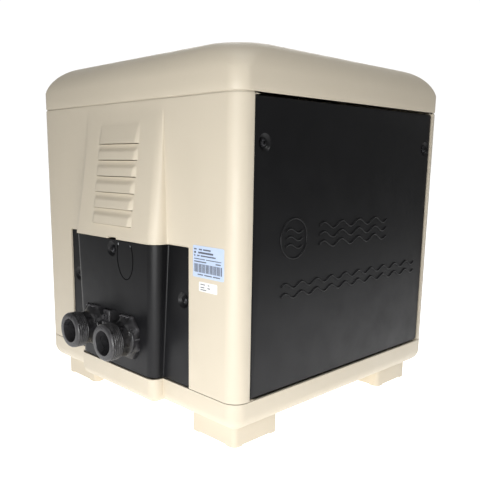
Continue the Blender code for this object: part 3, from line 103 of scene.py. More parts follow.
class Finish:
    """A Principled material whose colour, roughness and bump are built up in layers of procedural texture."""

    def __init__(self, name, colour, roughness, metallic=0.0, **sockets):
        self.material = bpy.data.materials.new(name)
        self.material.use_nodes = True
        self.nodes = self.material.node_tree.nodes
        self.links = self.material.node_tree.links
        self.shader = self.nodes["Principled BSDF"]
        self.shader.inputs["Metallic"].default_value = metallic
        for socket, value in sockets.items():
            self.shader.inputs[socket.replace("_", " ")].default_value = value
        self.place = self.nodes.new("ShaderNodeTexCoord").outputs["Object"]
        base = self.nodes.new("ShaderNodeRGB")
        base.outputs[0].default_value = (*colour, 1)
        self.colour = base.outputs[0]
        self.shader.inputs["Base Color"].default_value = (*colour, 1)
        self.shader.inputs["Roughness"].default_value = roughness
        self.normal = None

    def stretched(self, scale):
        """The object's own coordinates in metres, stretched."""
        made = self.nodes.new("ShaderNodeMapping")
        made.inputs["Scale"].default_value = scale
        self.links.new(self.place, made.inputs["Vector"])
        return made.outputs["Vector"]

    def noise(self, scale, detail=4.0, stretch=None, distortion=0.0, roughness=0.55):
        made = self.nodes.new("ShaderNodeTexNoise")
        made.inputs["Scale"].default_value = scale
        made.inputs["Detail"].default_value = detail
        made.inputs["Distortion"].default_value = distortion
        made.inputs["Roughness"].default_value = roughness
        self.links.new(self.stretched(stretch) if stretch else self.place, made.inputs["Vector"])
        return made.outputs["Fac"]

    def cells(self, scale, output="Distance"):
        made = self.nodes.new("ShaderNodeTexVoronoi")
        made.inputs["Scale"].default_value = scale
        self.links.new(self.place, made.inputs["Vector"])
        return made.outputs[output]

    def ramp(self, value, low, high, to_low=0.0, to_high=1.0, soft=False):
        made = self.nodes.new("ShaderNodeMapRange")
        made.interpolation_type = "SMOOTHSTEP" if soft else "LINEAR"
        made.inputs["From Min"].default_value = low
        made.inputs["From Max"].default_value = high
        made.inputs["To Min"].default_value = to_low
        made.inputs["To Max"].default_value = to_high
        self.links.new(value, made.inputs["Value"])
        return made.outputs["Result"]

    def height(self):
        """The height of each point above the floor, in metres."""
        made = self.nodes.new("ShaderNodeSeparateXYZ")
        self.links.new(self.place, made.inputs["Vector"])
        return made.outputs["Z"]

    def joined(self, operation, one, two):
        made = self.nodes.new("ShaderNodeMath")
        made.operation = operation
        self.links.new(one, made.inputs[0])
        self.links.new(two, made.inputs[1])
        return made.outputs["Value"]

    def tint(self, mask, colour):
        """Another colour where the mask is 1."""
        made = self.nodes.new("ShaderNodeMix")
        made.data_type = "RGBA"
        self.links.new(mask, made.inputs["Factor"])
        self.links.new(self.colour, made.inputs["A"])
        made.inputs["B"].default_value = (*colour, 1)
        self.colour = made.outputs["Result"]
        return self

    def stain(self, value, low, high, amount, colour):
        """Another colour in that amount, coming in as the value goes from low to high."""
        return self.tint(self.ramp(value, low, high, 0.0, amount), colour)

    def rough(self, value, low, high, to_low, to_high):
        self.links.new(self.ramp(value, low, high, to_low, to_high), self.shader.inputs["Roughness"])
        return self

    def bump(self, value, depth, strength=1.0):
        """Relief of that depth in metres."""
        made = self.nodes.new("ShaderNodeBump")
        made.inputs["Strength"].default_value = strength
        made.inputs["Distance"].default_value = depth
        self.links.new(value, made.inputs["Height"])
        if self.normal:
            self.links.new(self.normal, made.inputs["Normal"])
        self.normal = made.outputs["Normal"]
        return self

    def done(self):
        self.links.new(self.colour, self.shader.inputs["Base Color"])
        if self.normal:
            self.links.new(self.normal, self.shader.inputs["Normal"])
        return self.material


def plain(name, colour, roughness, metallic, tint, rough, bump):
    """A finish with one tint, one roughness and one relief, each from its own noise.

    tint is (scale, detail, low, high, amount, colour), rough is (scale, detail, smoothest, dullest) and bump is
    (scale, detail, stretch, depth, strength).
    """
    made = Finish(name, colour, roughness, metallic)
    scale, detail, low, high, amount, other = tint
    made.stain(made.noise(scale, detail), low, high, amount, other)
    scale, detail, smoothest, dullest = rough
    made.rough(made.noise(scale, detail), 0.3, 0.7, smoothest, dullest)
    scale, detail, stretch, depth, strength = bump
    return made.bump(made.noise(scale, detail, stretch), depth, strength)


def cream_plastic():
    """Moulded cream plastic with faint clouds, specks, flow marks and a fine grain."""
    made = Finish("cream_plastic", (0.63, 0.563, 0.448), 0.42, IOR=1.47)
    cloud = made.noise(5.0, 3.0)
    made.stain(cloud, 0.35, 0.75, 0.45, (0.59, 0.525, 0.415))
    speck = made.noise(420.0, 2.0)
    made.stain(speck, 0.62, 0.80, 0.22, (0.50, 0.44, 0.34))
    flow = made.noise(9.0, 3.0, stretch=(1.0, 1.0, 0.18))
    made.stain(flow, 0.55, 0.80, 0.25, (0.67, 0.61, 0.50))
    made.rough(made.noise(38.0, 3.0), 0.3, 0.7, 0.36, 0.52)
    made.bump(made.noise(1500.0, 2.0), 0.00006, 0.5)
    made.bump(made.noise(60.0, 2.0), 0.00012, 0.35)
    return made.done()


def black_satin():
    """Satin powder coat, with its orange peel, and painted lighter low down as a painted reflection of the bright
    floor.
    """
    made = Finish("black_satin", (0.0040, 0.0040, 0.0046), 0.36, IOR=1.43, Specular_IOR_Level=0.33)
    cloud = made.noise(7.0, 3.0)
    made.stain(cloud, 0.4, 0.8, 0.5, (0.0060, 0.0060, 0.0068))
    # painted reflection: the coat is painted lighter towards the bottom, below 0.26 m, where it would mirror the bright
    # floor
    made.stain(made.height(), 0.26, 0.08, 0.6, (0.014, 0.014, 0.016))
    made.rough(made.noise(24.0, 4.0), 0.3, 0.7, 0.34, 0.47)
    made.bump(made.cells(700.0), 0.00005, 0.45)
    made.bump(made.noise(45.0, 2.0), 0.00015, 0.3)
    return made.done()


def glass_filled():
    """Rough black glass-filled plastic, with grey flow marks, a painted highlight along its convex edges, and pits."""
    made = Finish("glass_filled_nylon", (0.0065, 0.0063, 0.0070), 0.38)
    mottle = made.noise(70.0, 6.0, distortion=1.2, roughness=0.7)
    made.stain(mottle, 0.48, 0.66, 0.70, (0.028, 0.027, 0.030))
    fibres = made.noise(210.0, 4.0, stretch=(0.35, 1.0, 1.0), roughness=0.7)
    made.stain(fibres, 0.60, 0.74, 0.60, (0.080, 0.078, 0.083))
    # painted highlight: lighter grey where the surface is sharply convex, along edges and thread crests
    edges = made.nodes.new("ShaderNodeNewGeometry").outputs["Pointiness"]
    made.stain(edges, 0.52, 0.60, 0.8, (0.13, 0.127, 0.134))
    made.rough(mottle, 0.35, 0.7, 0.24, 0.46)
    made.bump(made.noise(330.0, 5.0), 0.00030, 0.5)
    made.bump(made.cells(190.0), 0.00018, 0.35)
    return made.done()


def black_screw():
    """Blackened steel with bright wear."""
    made = Finish("black_screw", (0.030, 0.030, 0.033), 0.30, 0.85)
    worn = made.noise(900.0, 4.0)
    made.stain(worn, 0.56, 0.70, 0.8, (0.22, 0.22, 0.23))
    made.rough(worn, 0.3, 0.7, 0.22, 0.45)
    made.bump(made.noise(2400.0, 2.0), 0.00005, 0.4)
    return made.done()


def galvanised():
    """Zinc-coated sheet with its spangle, and a few dull stains."""
    made = Finish("galvanised_sheet", (0.50, 0.52, 0.54), 0.38, 1.0)
    spangle = made.cells(55.0, output="Color")
    grey = made.nodes.new("ShaderNodeRGBToBW")
    made.links.new(spangle, grey.inputs["Color"])
    made.stain(grey.outputs["Val"], 0.2, 0.8, 0.6, (0.66, 0.68, 0.70))
    made.stain(made.noise(14.0, 5.0), 0.60, 0.75, 0.6, (0.30, 0.29, 0.28))
    made.rough(grey.outputs["Val"], 0.1, 0.9, 0.28, 0.52)
    made.bump(made.noise(300.0, 3.0, stretch=(1.0, 1.0, 0.1)), 0.00008, 0.4)
    return made.done()


def copper():
    """Copper fins with heat tint and tarnish."""
    made = Finish("tarnished_copper", (0.72, 0.36, 0.20), 0.34, 1.0)
    tint = made.noise(22.0, 4.0)
    made.stain(tint, 0.45, 0.70, 0.8, (0.35, 0.16, 0.10))
    made.stain(made.noise(60.0, 5.0), 0.62, 0.78, 0.5, (0.20, 0.26, 0.20))
    made.rough(tint, 0.3, 0.7, 0.26, 0.50)
    fins = made.nodes.new("ShaderNodeTexWave")
    fins.bands_direction = "Z"
    fins.inputs["Scale"].default_value = 150.0
    made.links.new(made.place, fins.inputs["Vector"])
    made.bump(fins.outputs["Fac"], 0.0007, 0.8)
    return made.done()


def cast_aluminium():
    """Sand-cast metal with a coarse skin."""
    worn = (30.0, 4.0, 0.5, 0.75, 0.6, (0.38, 0.38, 0.39))
    skin = (900.0, 4.0, None, 0.00018, 0.6)
    made = plain("cast_aluminium", (0.55, 0.56, 0.58), 0.48, 1.0, worn, (120.0, 4.0, 0.38, 0.62), skin)
    return made.bump(made.cells(90.0), 0.00015, 0.25).done()


def label_stock(name, colour, aged):
    """Satin label film, with a faint mottle where it has aged."""
    mottle = (60.0, 4.0, 0.45, 0.8, 0.4, aged)
    return plain(name, colour, 0.40, 0.0, mottle, (150.0, 3.0, 0.32, 0.50), (400.0, 2.0, None, 0.00004, 0.4)).done()


def smoked():
    """Smoked clear plastic with fine scratches."""
    made = Finish("smoked_plastic", (0.030, 0.030, 0.034), 0.12, IOR=1.49, Coat_Weight=0.4)
    made.stain(made.noise(12.0, 2.0), 0.4, 0.8, 0.4, (0.040, 0.040, 0.046))
    scratches = made.noise(260.0, 2.0, stretch=(0.05, 1.0, 1.0))
    made.rough(scratches, 0.55, 0.75, 0.10, 0.24)
    made.bump(made.noise(30.0, 2.0), 0.00010, 0.25)
    return made.done()


def board():
    """Green solder resist over tracks, with small solder points."""
    made = Finish("circuit_board", (0.015, 0.12, 0.045), 0.34, IOR=1.5)
    tracks = made.nodes.new("ShaderNodeTexBrick")
    tracks.inputs["Scale"].default_value = 60.0
    tracks.inputs["Mortar Size"].default_value = 0.06
    made.links.new(made.place, tracks.inputs["Vector"])
    made.tint(tracks.outputs["Fac"], (0.03, 0.20, 0.07))
    points = made.cells(260.0)
    made.stain(points, 0.16, 0.10, 1.0, (0.50, 0.50, 0.48))
    made.bump(tracks.outputs["Fac"], 0.00006, 0.7)
    made.rough(points, 0.1, 0.4, 0.24, 0.42)
    return made.done()


def dark_groove():
    """The shadow in a pressed groove."""
    made = Finish("groove_shadow", (0.0012, 0.0012, 0.0012), 0.9, Specular_IOR_Level=0.05)
    made.stain(made.noise(200.0, 3.0), 0.5, 0.8, 0.5, (0.0030, 0.0030, 0.0030))
    made.bump(made.noise(900.0, 2.0), 0.00005, 0.5)
    return made.done()


LOOKS = {
    "cream": cream_plastic(),
    "black_panel": black_satin(),
    "header_plastic": glass_filled(),
    "screw_steel": black_screw(),
    "sheet_steel": galvanised(),
    "copper": copper(),
    "cast_metal": cast_aluminium(),
    "smoked_plastic": smoked(),
    "board": board(),
    "brass": plain(
        "turned_brass", (0.66, 0.48, 0.20), 0.28, 1.0, (70.0, 4.0, 0.5, 0.75, 0.6, (0.36, 0.24, 0.10)),
        (200.0, 3.0, 0.22, 0.42), (500.0, 2.0, (0.1, 0.1, 4.0), 0.00006, 0.5),
    ).done(),
    "black_rubber": plain(
        "black_rubber", (0.018, 0.018, 0.018), 0.72, 0.0, (120.0, 4.0, 0.55, 0.80, 0.5, (0.045, 0.044, 0.042)),
        (60.0, 3.0, 0.62, 0.84), (1300.0, 3.0, None, 0.00008, 0.6),
    ).done(),
    "key_plastic": plain(
        "key_rubber", (0.19, 0.20, 0.21), 0.62, 0.0, (180.0, 3.0, 0.5, 0.8, 0.5, (0.25, 0.26, 0.27)),
        (90.0, 3.0, 0.52, 0.72), (1500.0, 2.0, None, 0.00008, 0.5),
    ).done(),
    "motor_paint": plain(
        "motor_paint", (0.028, 0.029, 0.032), 0.42, 0.0, (260.0, 5.0, 0.62, 0.72, 0.7, (0.12, 0.11, 0.10)),
        (80.0, 3.0, 0.34, 0.56), (700.0, 3.0, None, 0.00015, 0.5),
    ).done(),
    "ceramic": plain(
        "ceramic", (0.74, 0.71, 0.64), 0.75, 0.0, (90.0, 5.0, 0.5, 0.75, 0.7, (0.52, 0.47, 0.40)),
        (200.0, 3.0, 0.62, 0.88), (600.0, 5.0, (1.0, 1.0, 0.4), 0.0004, 0.7),
    ).done(),
}


# ---------------- pieces


def linked(name, data):
    """A new object in the scene."""
    made = bpy.data.objects.new(name, data)
    bpy.context.scene.collection.objects.link(made)
    return made


def shape(name, bm):
    """A new mesh object from bm."""
    mesh = bpy.data.meshes.new(name)
    bm.to_mesh(mesh)
    bm.free()
    return linked(name, mesh)


def piece(name, bm, body, slot, look=None, smooth=38, nodes=()):
    """A new piece of the looks. It rides on a body and may stand for CAD nodes."""
    made = shape(name, bm)
    made.data.materials.append(look or LOOKS[slot])
    made.data.shade_smooth()
    made.data.set_sharp_from_angle(angle=math.radians(smooth))
    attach(made, body)
    if nodes:
        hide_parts(*nodes)
    return made


def soften(made, width, segments=2, angle=38, harden=True):
    """Rounds a piece's sharp edges."""
    edge = made.modifiers.new("Edges", "BEVEL")
    edge.width = width
    edge.segments = segments
    edge.limit_method = "ANGLE"
    edge.angle_limit = math.radians(angle)
    edge.harden_normals = harden


def dress_frame():
    """Each CAD node that stays in view gets its slot's finish, and rounded edges that catch the light."""
    for entry in frame["record"]["subparts"]:
        node = NODES[entry["node"]]
        node.data.materials.clear()
        node.data.materials.append(LOOKS[entry["material_slot"]])
        low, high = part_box(entry["node"])
        weld = node.modifiers.new("Weld", "WELD")
        weld.merge_threshold = 0.00002
        soften(node, min(0.0006, min(high - low) * 0.12), harden=False)
        shading = node.modifiers.new("Shading", "WEIGHTED_NORMAL")
        shading.weight = 100
        shading.keep_sharp = True
        node.data.shade_smooth()


def worked(bm, steps, thickness=0.0):
    """bm thickened inwards and then joined with or cut by other shapes: steps are (operation, bmesh)."""
    base = shape("work", bm)
    if thickness:
        shell = base.modifiers.new("Shell", "SOLIDIFY")
        shell.thickness = thickness
        shell.offset = -1
    tools = []
    for operation, tool in steps:
        other = shape("tool", tool)
        tools.append(other)
        modifier = base.modifiers.new(operation, "BOOLEAN")
        modifier.operation = operation
        modifier.solver = "EXACT"
        modifier.object = other
    bpy.context.view_layer.update()
    graph = bpy.context.evaluated_depsgraph_get()
    mesh = bpy.data.meshes.new_from_object(base.evaluated_get(graph))
    made = bmesh.new()
    made.from_mesh(mesh)
    for used in [base, *tools]:
        bpy.data.objects.remove(used)
    return made


def block(low, high, round_edges=0.0, steps=3, picked=None):
    """A box between two corners. Its edges, or those that picked names, are rounded."""
    low, high = Vector(low), Vector(high)
    bm = bmesh.new()
    size = Matrix.Diagonal((*(high - low), 1))
    bmesh.ops.create_cube(bm, size=1, matrix=Matrix.Translation((low + high) / 2) @ size)
    if round_edges:
        edges = [e for e in bm.edges if picked is None or picked(e)]
        bmesh.ops.bevel(bm, geom=edges, offset=round_edges, segments=steps, profile=0.5, affect="EDGES")
    return bm


def rod(start, end, radius, sides=32):
    """A cylinder from one point to another."""
    start, end = Vector(start), Vector(end)
    reach = end - start
    turn = reach.to_track_quat("Z", "Y").to_matrix().to_4x4()
    bm = bmesh.new()
    bmesh.ops.create_cone(
        bm,
        cap_ends=True,
        segments=sides,
        radius1=radius,
        radius2=radius,
        depth=reach.length,
        matrix=Matrix.Translation((start + end) / 2) @ turn,
    )
    return bm


def turns(count):
    """The angles that divide a whole turn into count parts."""
    return [2 * math.pi * i / count for i in range(count)]


def lathe(profile, place, out, steps=48):
    """A turned shape about the line from place towards out. profile is (radius, height) from axis to axis."""
    bm = bmesh.new()
    turn = Vector(out).to_track_quat("Z", "Y").to_matrix().to_4x4()
    matrix = Matrix.Translation(place) @ turn
    rings = []
    for radius, height in profile:
        if radius < 1e-6:
            rings.append([bm.verts.new(matrix @ Vector((0, 0, height)))])
            continue
        points = [Vector((radius * math.cos(a), radius * math.sin(a), height)) for a in turns(steps)]
        rings.append([bm.verts.new(matrix @ point) for point in points])
    for one, two in zip(rings, rings[1:]):
        for i in range(steps):
            j = (i + 1) % steps
            if len(one) == 1:
                bm.faces.new((one[0], two[j], two[i]))
            elif len(two) == 1:
                bm.faces.new((one[i], one[j], two[0]))
            else:
                bm.faces.new((one[i], one[j], two[j], two[i]))
    bmesh.ops.recalc_face_normals(bm, faces=bm.faces)
    return bm


def prism(outline, low, high, axis):
    """An outline in the two other axes, in X, Y, Z order, drawn out along axis."""
    order = {"X": (2, 0, 1), "Y": (0, 2, 1), "Z": (0, 1, 2)}[axis]
    rows = [[[(a, b, level)[k] for k in order] for a, b in outline] for level in (low, high)]
    return sheet_of(rows, closed=True, caps=2)


def merged(*parts):
    """Several bmeshes as one."""
    whole = bmesh.new()
    for part in parts:
        mesh = bpy.data.meshes.new("part")
        part.to_mesh(mesh)
        part.free()
        whole.from_mesh(mesh)
        bpy.data.meshes.remove(mesh)
    return whole


def arc(centre_x, centre_y, radius, start, end, steps):
    """Points along an arc between two angles in degrees."""
    turn = [math.radians(start + (end - start) * i / steps) for i in range(steps + 1)]
    return [(centre_x + radius * math.cos(a), centre_y + radius * math.sin(a)) for a in turn]


def rounded_rectangle(half_x, half_y, radius, steps, centre):
    """Points round a rectangle, from the middle of its high X side, with steps + 1 of them at each corner."""
    cx, cy = centre
    x, y = half_x - radius, half_y - radius
    return (
        arc(cx + x, cy + y, radius, 0, 90, steps)
        + arc(cx - x, cy + y, radius, 90, 180, steps)
        + arc(cx - x, cy - y, radius, 180, 270, steps)
        + arc(cx + x, cy - y, radius, 270, 360, steps)
    )


def sheet_of(rows, closed=False, caps=0):
    """A surface through rows of points, closed round each row or not, and capped at the last row or at both ends."""
    bm = bmesh.new()
    made = [[bm.verts.new(p) for p in row] for row in rows]
    for low, high in zip(made, made[1:]):
        for i in range(len(low) if closed else len(low) - 1):
            j = (i + 1) % len(low)
            bm.faces.new((low[i], low[j], high[j], high[i]))
    if caps:
        bm.faces.new(made[-1])
    if caps == 2:
        bm.faces.new(made[0][::-1])
        bmesh.ops.recalc_face_normals(bm, faces=bm.faces)
    return bm


def eased(t):
    """0 to 1 with a soft start and end."""
    t = min(1.0, max(0.0, t))
    return t * t * (3 - 2 * t)


def tube(name, route, radius, body, slot, look=None, closed=False, sides=3):
    """A round bead along a route of points, riding on a body."""
    curve = bpy.data.curves.new(name, "CURVE")
    curve.dimensions = "3D"
    curve.bevel_depth = radius
    curve.bevel_resolution = sides
    curve.use_fill_caps = True
    spline = curve.splines.new("POLY")
    spline.points.add(len(route) - 1)
    for point, place in zip(spline.points, route):
        point.co = (*place, 1)
    spline.use_cyclic_u = closed
    made = linked(name, curve)
    curve.materials.append(look or LOOKS[slot])
    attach(made, body)


def upright(edge):
    """True for an edge along Z."""
    ends = edge.verts[1].co - edge.verts[0].co
    return abs(ends.normalized().z) > 0.9


# ---------------- cabinet


def lid():
    """The lid's rolled edge, its opening for the controls, and its hinge rail."""

    def ring(angle, extra=0.0, z=None):
        inset = LID_ROUND * (1 - math.cos(angle)) + extra
        level = TOP - LID_ROUND + LID_ROUND * math.sin(angle) if z is None else z
        radius = CORNER + (LID_TOP_CORNER - CORNER) * math.sin(angle)
        corners = rounded_rectangle(WIDTH / 2 - inset, DEPTH / 2 - inset, radius, 14, (CX, CY))
        return [(x, y, level) for x, y in corners]

    rim = ((0.0012, 0.0), (0.0003, 0.0006), (0.0, 0.0016), (0.0, 0.014))
    rows = [ring(0, inset, SEAM_HIGH + up) for inset, up in rim]
    rows += [ring(math.radians(6 * i)) for i in range(16)]
    window = rounded_rectangle(CONTROL_HALF_X, CONTROL_HALF_Y, 0.010, 8, (CX, CONTROL_Y))
    steps = [(CUT, prism(window, TOP - 0.02, TOP + 0.02, "Z"))]
    for x in LID_SCREW_X:
        hole = rod((CX + x, REAR - 0.02, LID_SCREW_Z), (CX + x, REAR + 0.02, LID_SCREW_Z), 0.0028, 16)
        steps.append((CUT, hole))
    bm = worked(sheet_of(rows, closed=True, caps=1), steps, WALL)
    soften(piece("lid_skin", bm, "cabinet", "cream", nodes=("top_lid",)), 0.0007, 3)
    y = CONTROL_Y + CONTROL_HALF_Y + 0.010
    spans = ((-0.078, -0.071), (-0.053, 0.053), (0.071, 0.078))
    parts = [
        block((CX + a, y - 0.0035, TOP - 0.001), (CX + b, y + 0.0045, TOP + 0.0085), 0.0012, 3) for a, b in spans
    ]
    piece("hinge_rail", merged(*parts), "cabinet", "cream")


def bulge_at(z):
    """(front half width, rear half width, how far it stands out) of the left side's swelling at height z."""

    def between(one, two, t):
        return one + (two - one) * t

    if z >= BULGE_CUT_Z:
        t = min(1, (z - BULGE_CUT_Z) / (BULGE_TOP_Z - BULGE_CUT_Z))
        end, proud = 0, BULGE_WIDE * (1 - t)
    else:
        t = min(1, (BULGE_CUT_Z - z) / (BULGE_CUT_Z - SEAM_LOW))
        end, proud = 2, between(BULGE_WIDE, BULGE_LOW, t)
    front, rear = (between(half[1], half[end], t) for half in (BULGE_FRONT, BULGE_REAR))
    return front, rear, proud


def bulge_side(half, proud, steps):
    """(distance from the middle, how far out) from the swelling's foot to its flat face."""
    wall = 0.30
    side = [(half + 0.0015, 0.0), (half + 0.0003, proud * 0.04), (half, proud * 0.12), (half, proud * wall)]
    for i in range(1, steps + 1):
        a = math.pi / 2 * i / steps
        side.append((half - BULGE_ROUND * (1 - math.cos(a)), proud * (wall + (1 - wall) * math.sin(a))))
    return side


def louvre_at(i):
    """(foot, height) of the hood of louvre i from the top. The top one is taller."""
    return LOUVRE_TOP_Z - i * LOUVRE_PITCH, LOUVRE_HIGH if i else LOUVRE_HIGH * 1.5


def louvre_out(y, z):
    """How far a louvre's hood stands out of the wall at y, z, and whether a slot is there."""
    for i in range(LOUVRE_COUNT):
        foot, high = louvre_at(i)
        if foot - LOUVRE_SLOT < z < foot - 1e-5 and abs(y) < LOUVRE_HALF - 0.0015:
            return -0.007, True
        if foot - 1e-5 <= z < foot + high:
            up = (z - foot) / high
            end = eased((LOUVRE_HALF - abs(y)) / 0.0085)
            if i:
                crown = 1 - 0.25 * up / 0.55 if up < 0.55 else 0.75 * (1 - eased((up - 0.55) / 0.45))
            else:
                crown = (1 - up) ** 0.9
            return LOUVRE_PROUD * crown * end, False
    return 0.0, False


def in_slot(part):
    """True for a face or an edge with all its corners in a louvre's slot."""
    return all(louvre_out(v.co.y - CY, v.co.z)[1] for v in part.verts)


def corner_row(side_y, z):
    """The left side's corner: its lip behind the panel, the margin and the round, towards the side's flat."""
    face = CY + side_y * DEPTH / 2
    margin = LEFT + MARGIN
    lip = ((0.0, LIP), (0.0, 0.0012), (0.0004, 0.0003), (0.0015, 0.0))
    row = [(margin - x, face - side_y * y, z) for x, y in lip]
    centre = (LEFT + CORNER, face - side_y * CORNER)
    for i in range(13):
        a = math.pi / 2 * i / 12
        row.append((centre[0] - CORNER * math.sin(a), centre[1] + side_y * CORNER * math.cos(a), z))
    return row


def level_rows():
    """Heights of the left side's rows: close together at its ends and over the louvres."""
    levels = [JACKET_LOW, JACKET_LOW + 0.0010, 0.12, 0.20, BULGE_CUT_Z - 0.02, BULGE_CUT_Z, NOTCH_TOP]
    for i in range(LOUVRE_COUNT):
        foot, high = louvre_at(i)
        levels += [foot - LOUVRE_SLOT, foot - LOUVRE_SLOT + 0.0002, foot - 0.0001, foot]
        levels += [foot + high * t for t in (0.02, 0.1, 0.3, 0.5, 0.56, 0.62, 0.68, 0.75, 0.82, 0.9, 1.0)]
    levels += [0.488, 0.495, BULGE_TOP_Z, JACKET_HIGH - 0.0010, JACKET_HIGH]
    return sorted(set(round(z, 6) for z in levels))


def is_opening_edge(edge):
    """True for the rim of the plumbing cover's opening."""
    return all(COVER_FRONT - 1e-4 < v.co.y - CY < COVER_REAR + 1e-4 and v.co.z < NOTCH_TOP + 1e-4 for v in edge.verts)


def left_skin():
    """The left side with its swelling and louvres, wrapped round both corners."""
    ends = [LOUVRE_HALF * t for t in (1.04, 1.0, 0.985, 0.9737, 0.9736, 0.95, 0.92, 0.88, 0.84, 0.7, 0.5)]
    middle = [*ends, 0.012, *NOTCH_REAR, 0.0, *NOTCH_FRONT, -0.022, *[-y for y in reversed(ends)]]
    rows = []
    for z in level_rows():
        front_half, rear_half, proud = bulge_at(max(z, BULGE_CUT_Z))
        pull = 0.0008 if z in (JACKET_LOW, JACKET_HIGH) else 0.0
        row = [*corner_row(1, z), (LEFT, CY + COVER_REAR, z)]
        row += [(LEFT - out, CY + y, z) for y, out in bulge_side(rear_half, proud, 10)]
        row += [(LEFT - proud - louvre_out(y, z)[0], CY + y, z) for y in middle]
        row += [(LEFT - out, CY - y, z) for y, out in reversed(bulge_side(front_half, proud, 10))]
        row += [(LEFT, CY + COVER_FRONT, z), *reversed(corner_row(-1, z))]
        rows.append([(x + pull, y, z) for x, y, z in row])
    bm = sheet_of(rows)
    gone = []
    for f in bm.faces:
        centre = f.calc_center_median()
        y, z = centre.y - CY, centre.z
        below_cut = z < BULGE_CUT_Z and COVER_FRONT + 1e-5 < y < COVER_REAR - 1e-5
        notch = z < NOTCH_TOP and NOTCH_FRONT[-1] < y < NOTCH_REAR[0]
        slot = louvre_out(y, z)[1] and in_slot(f)
        if below_cut or slot or (notch and z > BULGE_CUT_Z):
            gone.append(f)
    bmesh.ops.delete(bm, geom=gone, context="FACES")
    rims = [e for e in bm.edges if e.is_boundary and is_opening_edge(e)]
    slots = [e for e in bm.edges if e.is_boundary and in_slot(e)]
    for edges, deep in ((rims, 0.006), (slots, 0.003)):
        for v in bmesh.ops.extrude_edge_only(bm, edges=edges)["geom"]:
            if isinstance(v, bmesh.types.BMVert):
                v.co.x += deep
    bmesh.ops.recalc_face_normals(bm, faces=bm.faces)
    if sum(f.normal.x * f.calc_area() for f in bm.faces) > 0:
        bmesh.ops.reverse_faces(bm, faces=bm.faces)
    piece("left_side_skin", bm, "cabinet", "cream", nodes=("left_jacket",), smooth=42)


def base_skin():
    """The base with its soft lower edge, four feet, and the swelling under the cover."""

    def below_rim(edge):
        """The upright edges and the ones round the foot."""
        return upright(edge) or max(v.co.z for v in edge.verts) < SEAM_LOW - 0.001

    body = block((LEFT, FRONT, FOOT_HEIGHT), (RIGHT, REAR, SEAM_LOW), 0.024, 8, below_rim)
    front, rear = CY - BULGE_FRONT[2] - 0.001, CY + BULGE_REAR[2] + 0.001
    swell_low = (LEFT - BULGE_LOW, front, FOOT_HEIGHT + 0.003)
    steps = [(JOIN, block(swell_low, (LEFT + 0.045, rear, SEAM_LOW), 0.016, 7, below_rim))]
    for side_x in (-1, 1):
        for side_y in (-1, 1):
            x = CX + side_x * (WIDTH / 2 - FOOT_INSET - FOOT_SIDE / 2)
            y = CY + side_y * (DEPTH / 2 - FOOT_INSET - FOOT_SIDE / 2)
            r = FOOT_SIDE / 2
            foot = block((x - r, y - r, 0), (x + r, y + r, FOOT_HEIGHT + 0.012), 0.009, 5, upright)
            steps.append((JOIN, foot))
            for a, b in ((r + 0.001, r - 0.018), (r - 0.018, r + 0.001)):
                steps.append((CUT, block((x - a, y - b, -0.001), (x + a, y + b, 0.0016))))
    inner_low = (LEFT + 0.004, FRONT + 0.004, FOOT_HEIGHT + 0.004)
    steps.append((CUT, block(inner_low, (RIGHT - 0.004, REAR - 0.004, SEAM_LOW + 0.01), 0.020, 5, below_rim)))
    swell_in = (LEFT - BULGE_LOW + 0.004, front + 0.004, FOOT_HEIGHT + 0.009)
    steps.append((CUT, block(swell_in, (LEFT + 0.045, rear - 0.004, SEAM_LOW + 0.01), 0.010, 4, upright)))
    for x in (-0.07, 0.07):
        slot_low = (CX + x - 0.030, CY - 0.008, FOOT_HEIGHT - 0.01)
        steps.append((CUT, block(slot_low, (CX + x + 0.030, CY + 0.008, FOOT_HEIGHT + 0.02))))
    bm = worked(body, steps)
    soften(piece("base_skin", bm, "cabinet", "cream", nodes=("base_pan",)), 0.0014, 3, 50)


def seam_step():
    """The rebate under the lid's rim: it closes the seam a little way in, round all but the service panel."""
    inset, low, high = 0.0016, JACKET_HIGH - 0.0020, SEAM_HIGH + 0.0010
    start, end = (PANEL_HIGH.x + 0.0010, FRONT + inset), (LEFT + MARGIN, FRONT + inset)
    loop = rounded_rectangle(WIDTH / 2 - inset, DEPTH / 2 - inset, CORNER - inset, 8, (CX, CY))
    front_right = 3 * (len(loop) // 4)
    path = [start, *loop[front_right:], *loop[:front_right], end]
    bm = sheet_of([[(x, y, z) for x, y in path] for z in (low, (low + high) / 2, high)])
    piece("seam_step", bm, "cabinet", "cream")


def corner_tabs():
    """Small moulded tabs that show in the gap at each lower and upper corner of the service panel."""
    parts = []
    for x in (PANEL_LOW.x + 0.0030, PANEL_HIGH.x - 0.0030):
        for low, high in ((JACKET_LOW, PANEL_LOW.z - 0.0007), (PANEL_HIGH.z + 0.0006, JACKET_HIGH)):
            parts.append(block((x - 0.0050, FRONT + 0.0006, low), (x + 0.0050, FRONT + 0.0090, high), 0.0006, 2))
    piece("corner_tabs", merged(*parts), "cabinet", "cream")


def dimple(place, out):
    """The steps that press a round dish with a screw hole into a panel at place."""
    place, out = Vector(place), Vector(out)
    boss = rod(place - out * 0.0006, place - out * 0.0068, 0.0138, 40)
    bowl = [(0, 0.002), (0.0132, 0.002), (0.0128, 0.0), (0.0118, -0.0006), (0.0100, -0.0022), (0.0082, -0.0036)]
    bowl += [(0.0074, -0.0040), (0, -0.0040)]
    hole = rod(place + out * 0.002, place - out * 0.02, 0.0028, 16)
    return [(JOIN, boss), (CUT, lathe(bowl, place, out)), (CUT, hole)]


def chamfered(middle, half, low, high, across, up):
    """A rectangle in (Y, Z) with its corners cut off, across by up."""
    return [
        (middle - half, low + up),
        (middle - half + across, low),
        (middle + half - across, low),
        (middle + half, low + up),
        (middle + half, high - up),
        (middle + half - across, high),
        (middle - half + across, high),
        (middle - half, high - up),
    ]


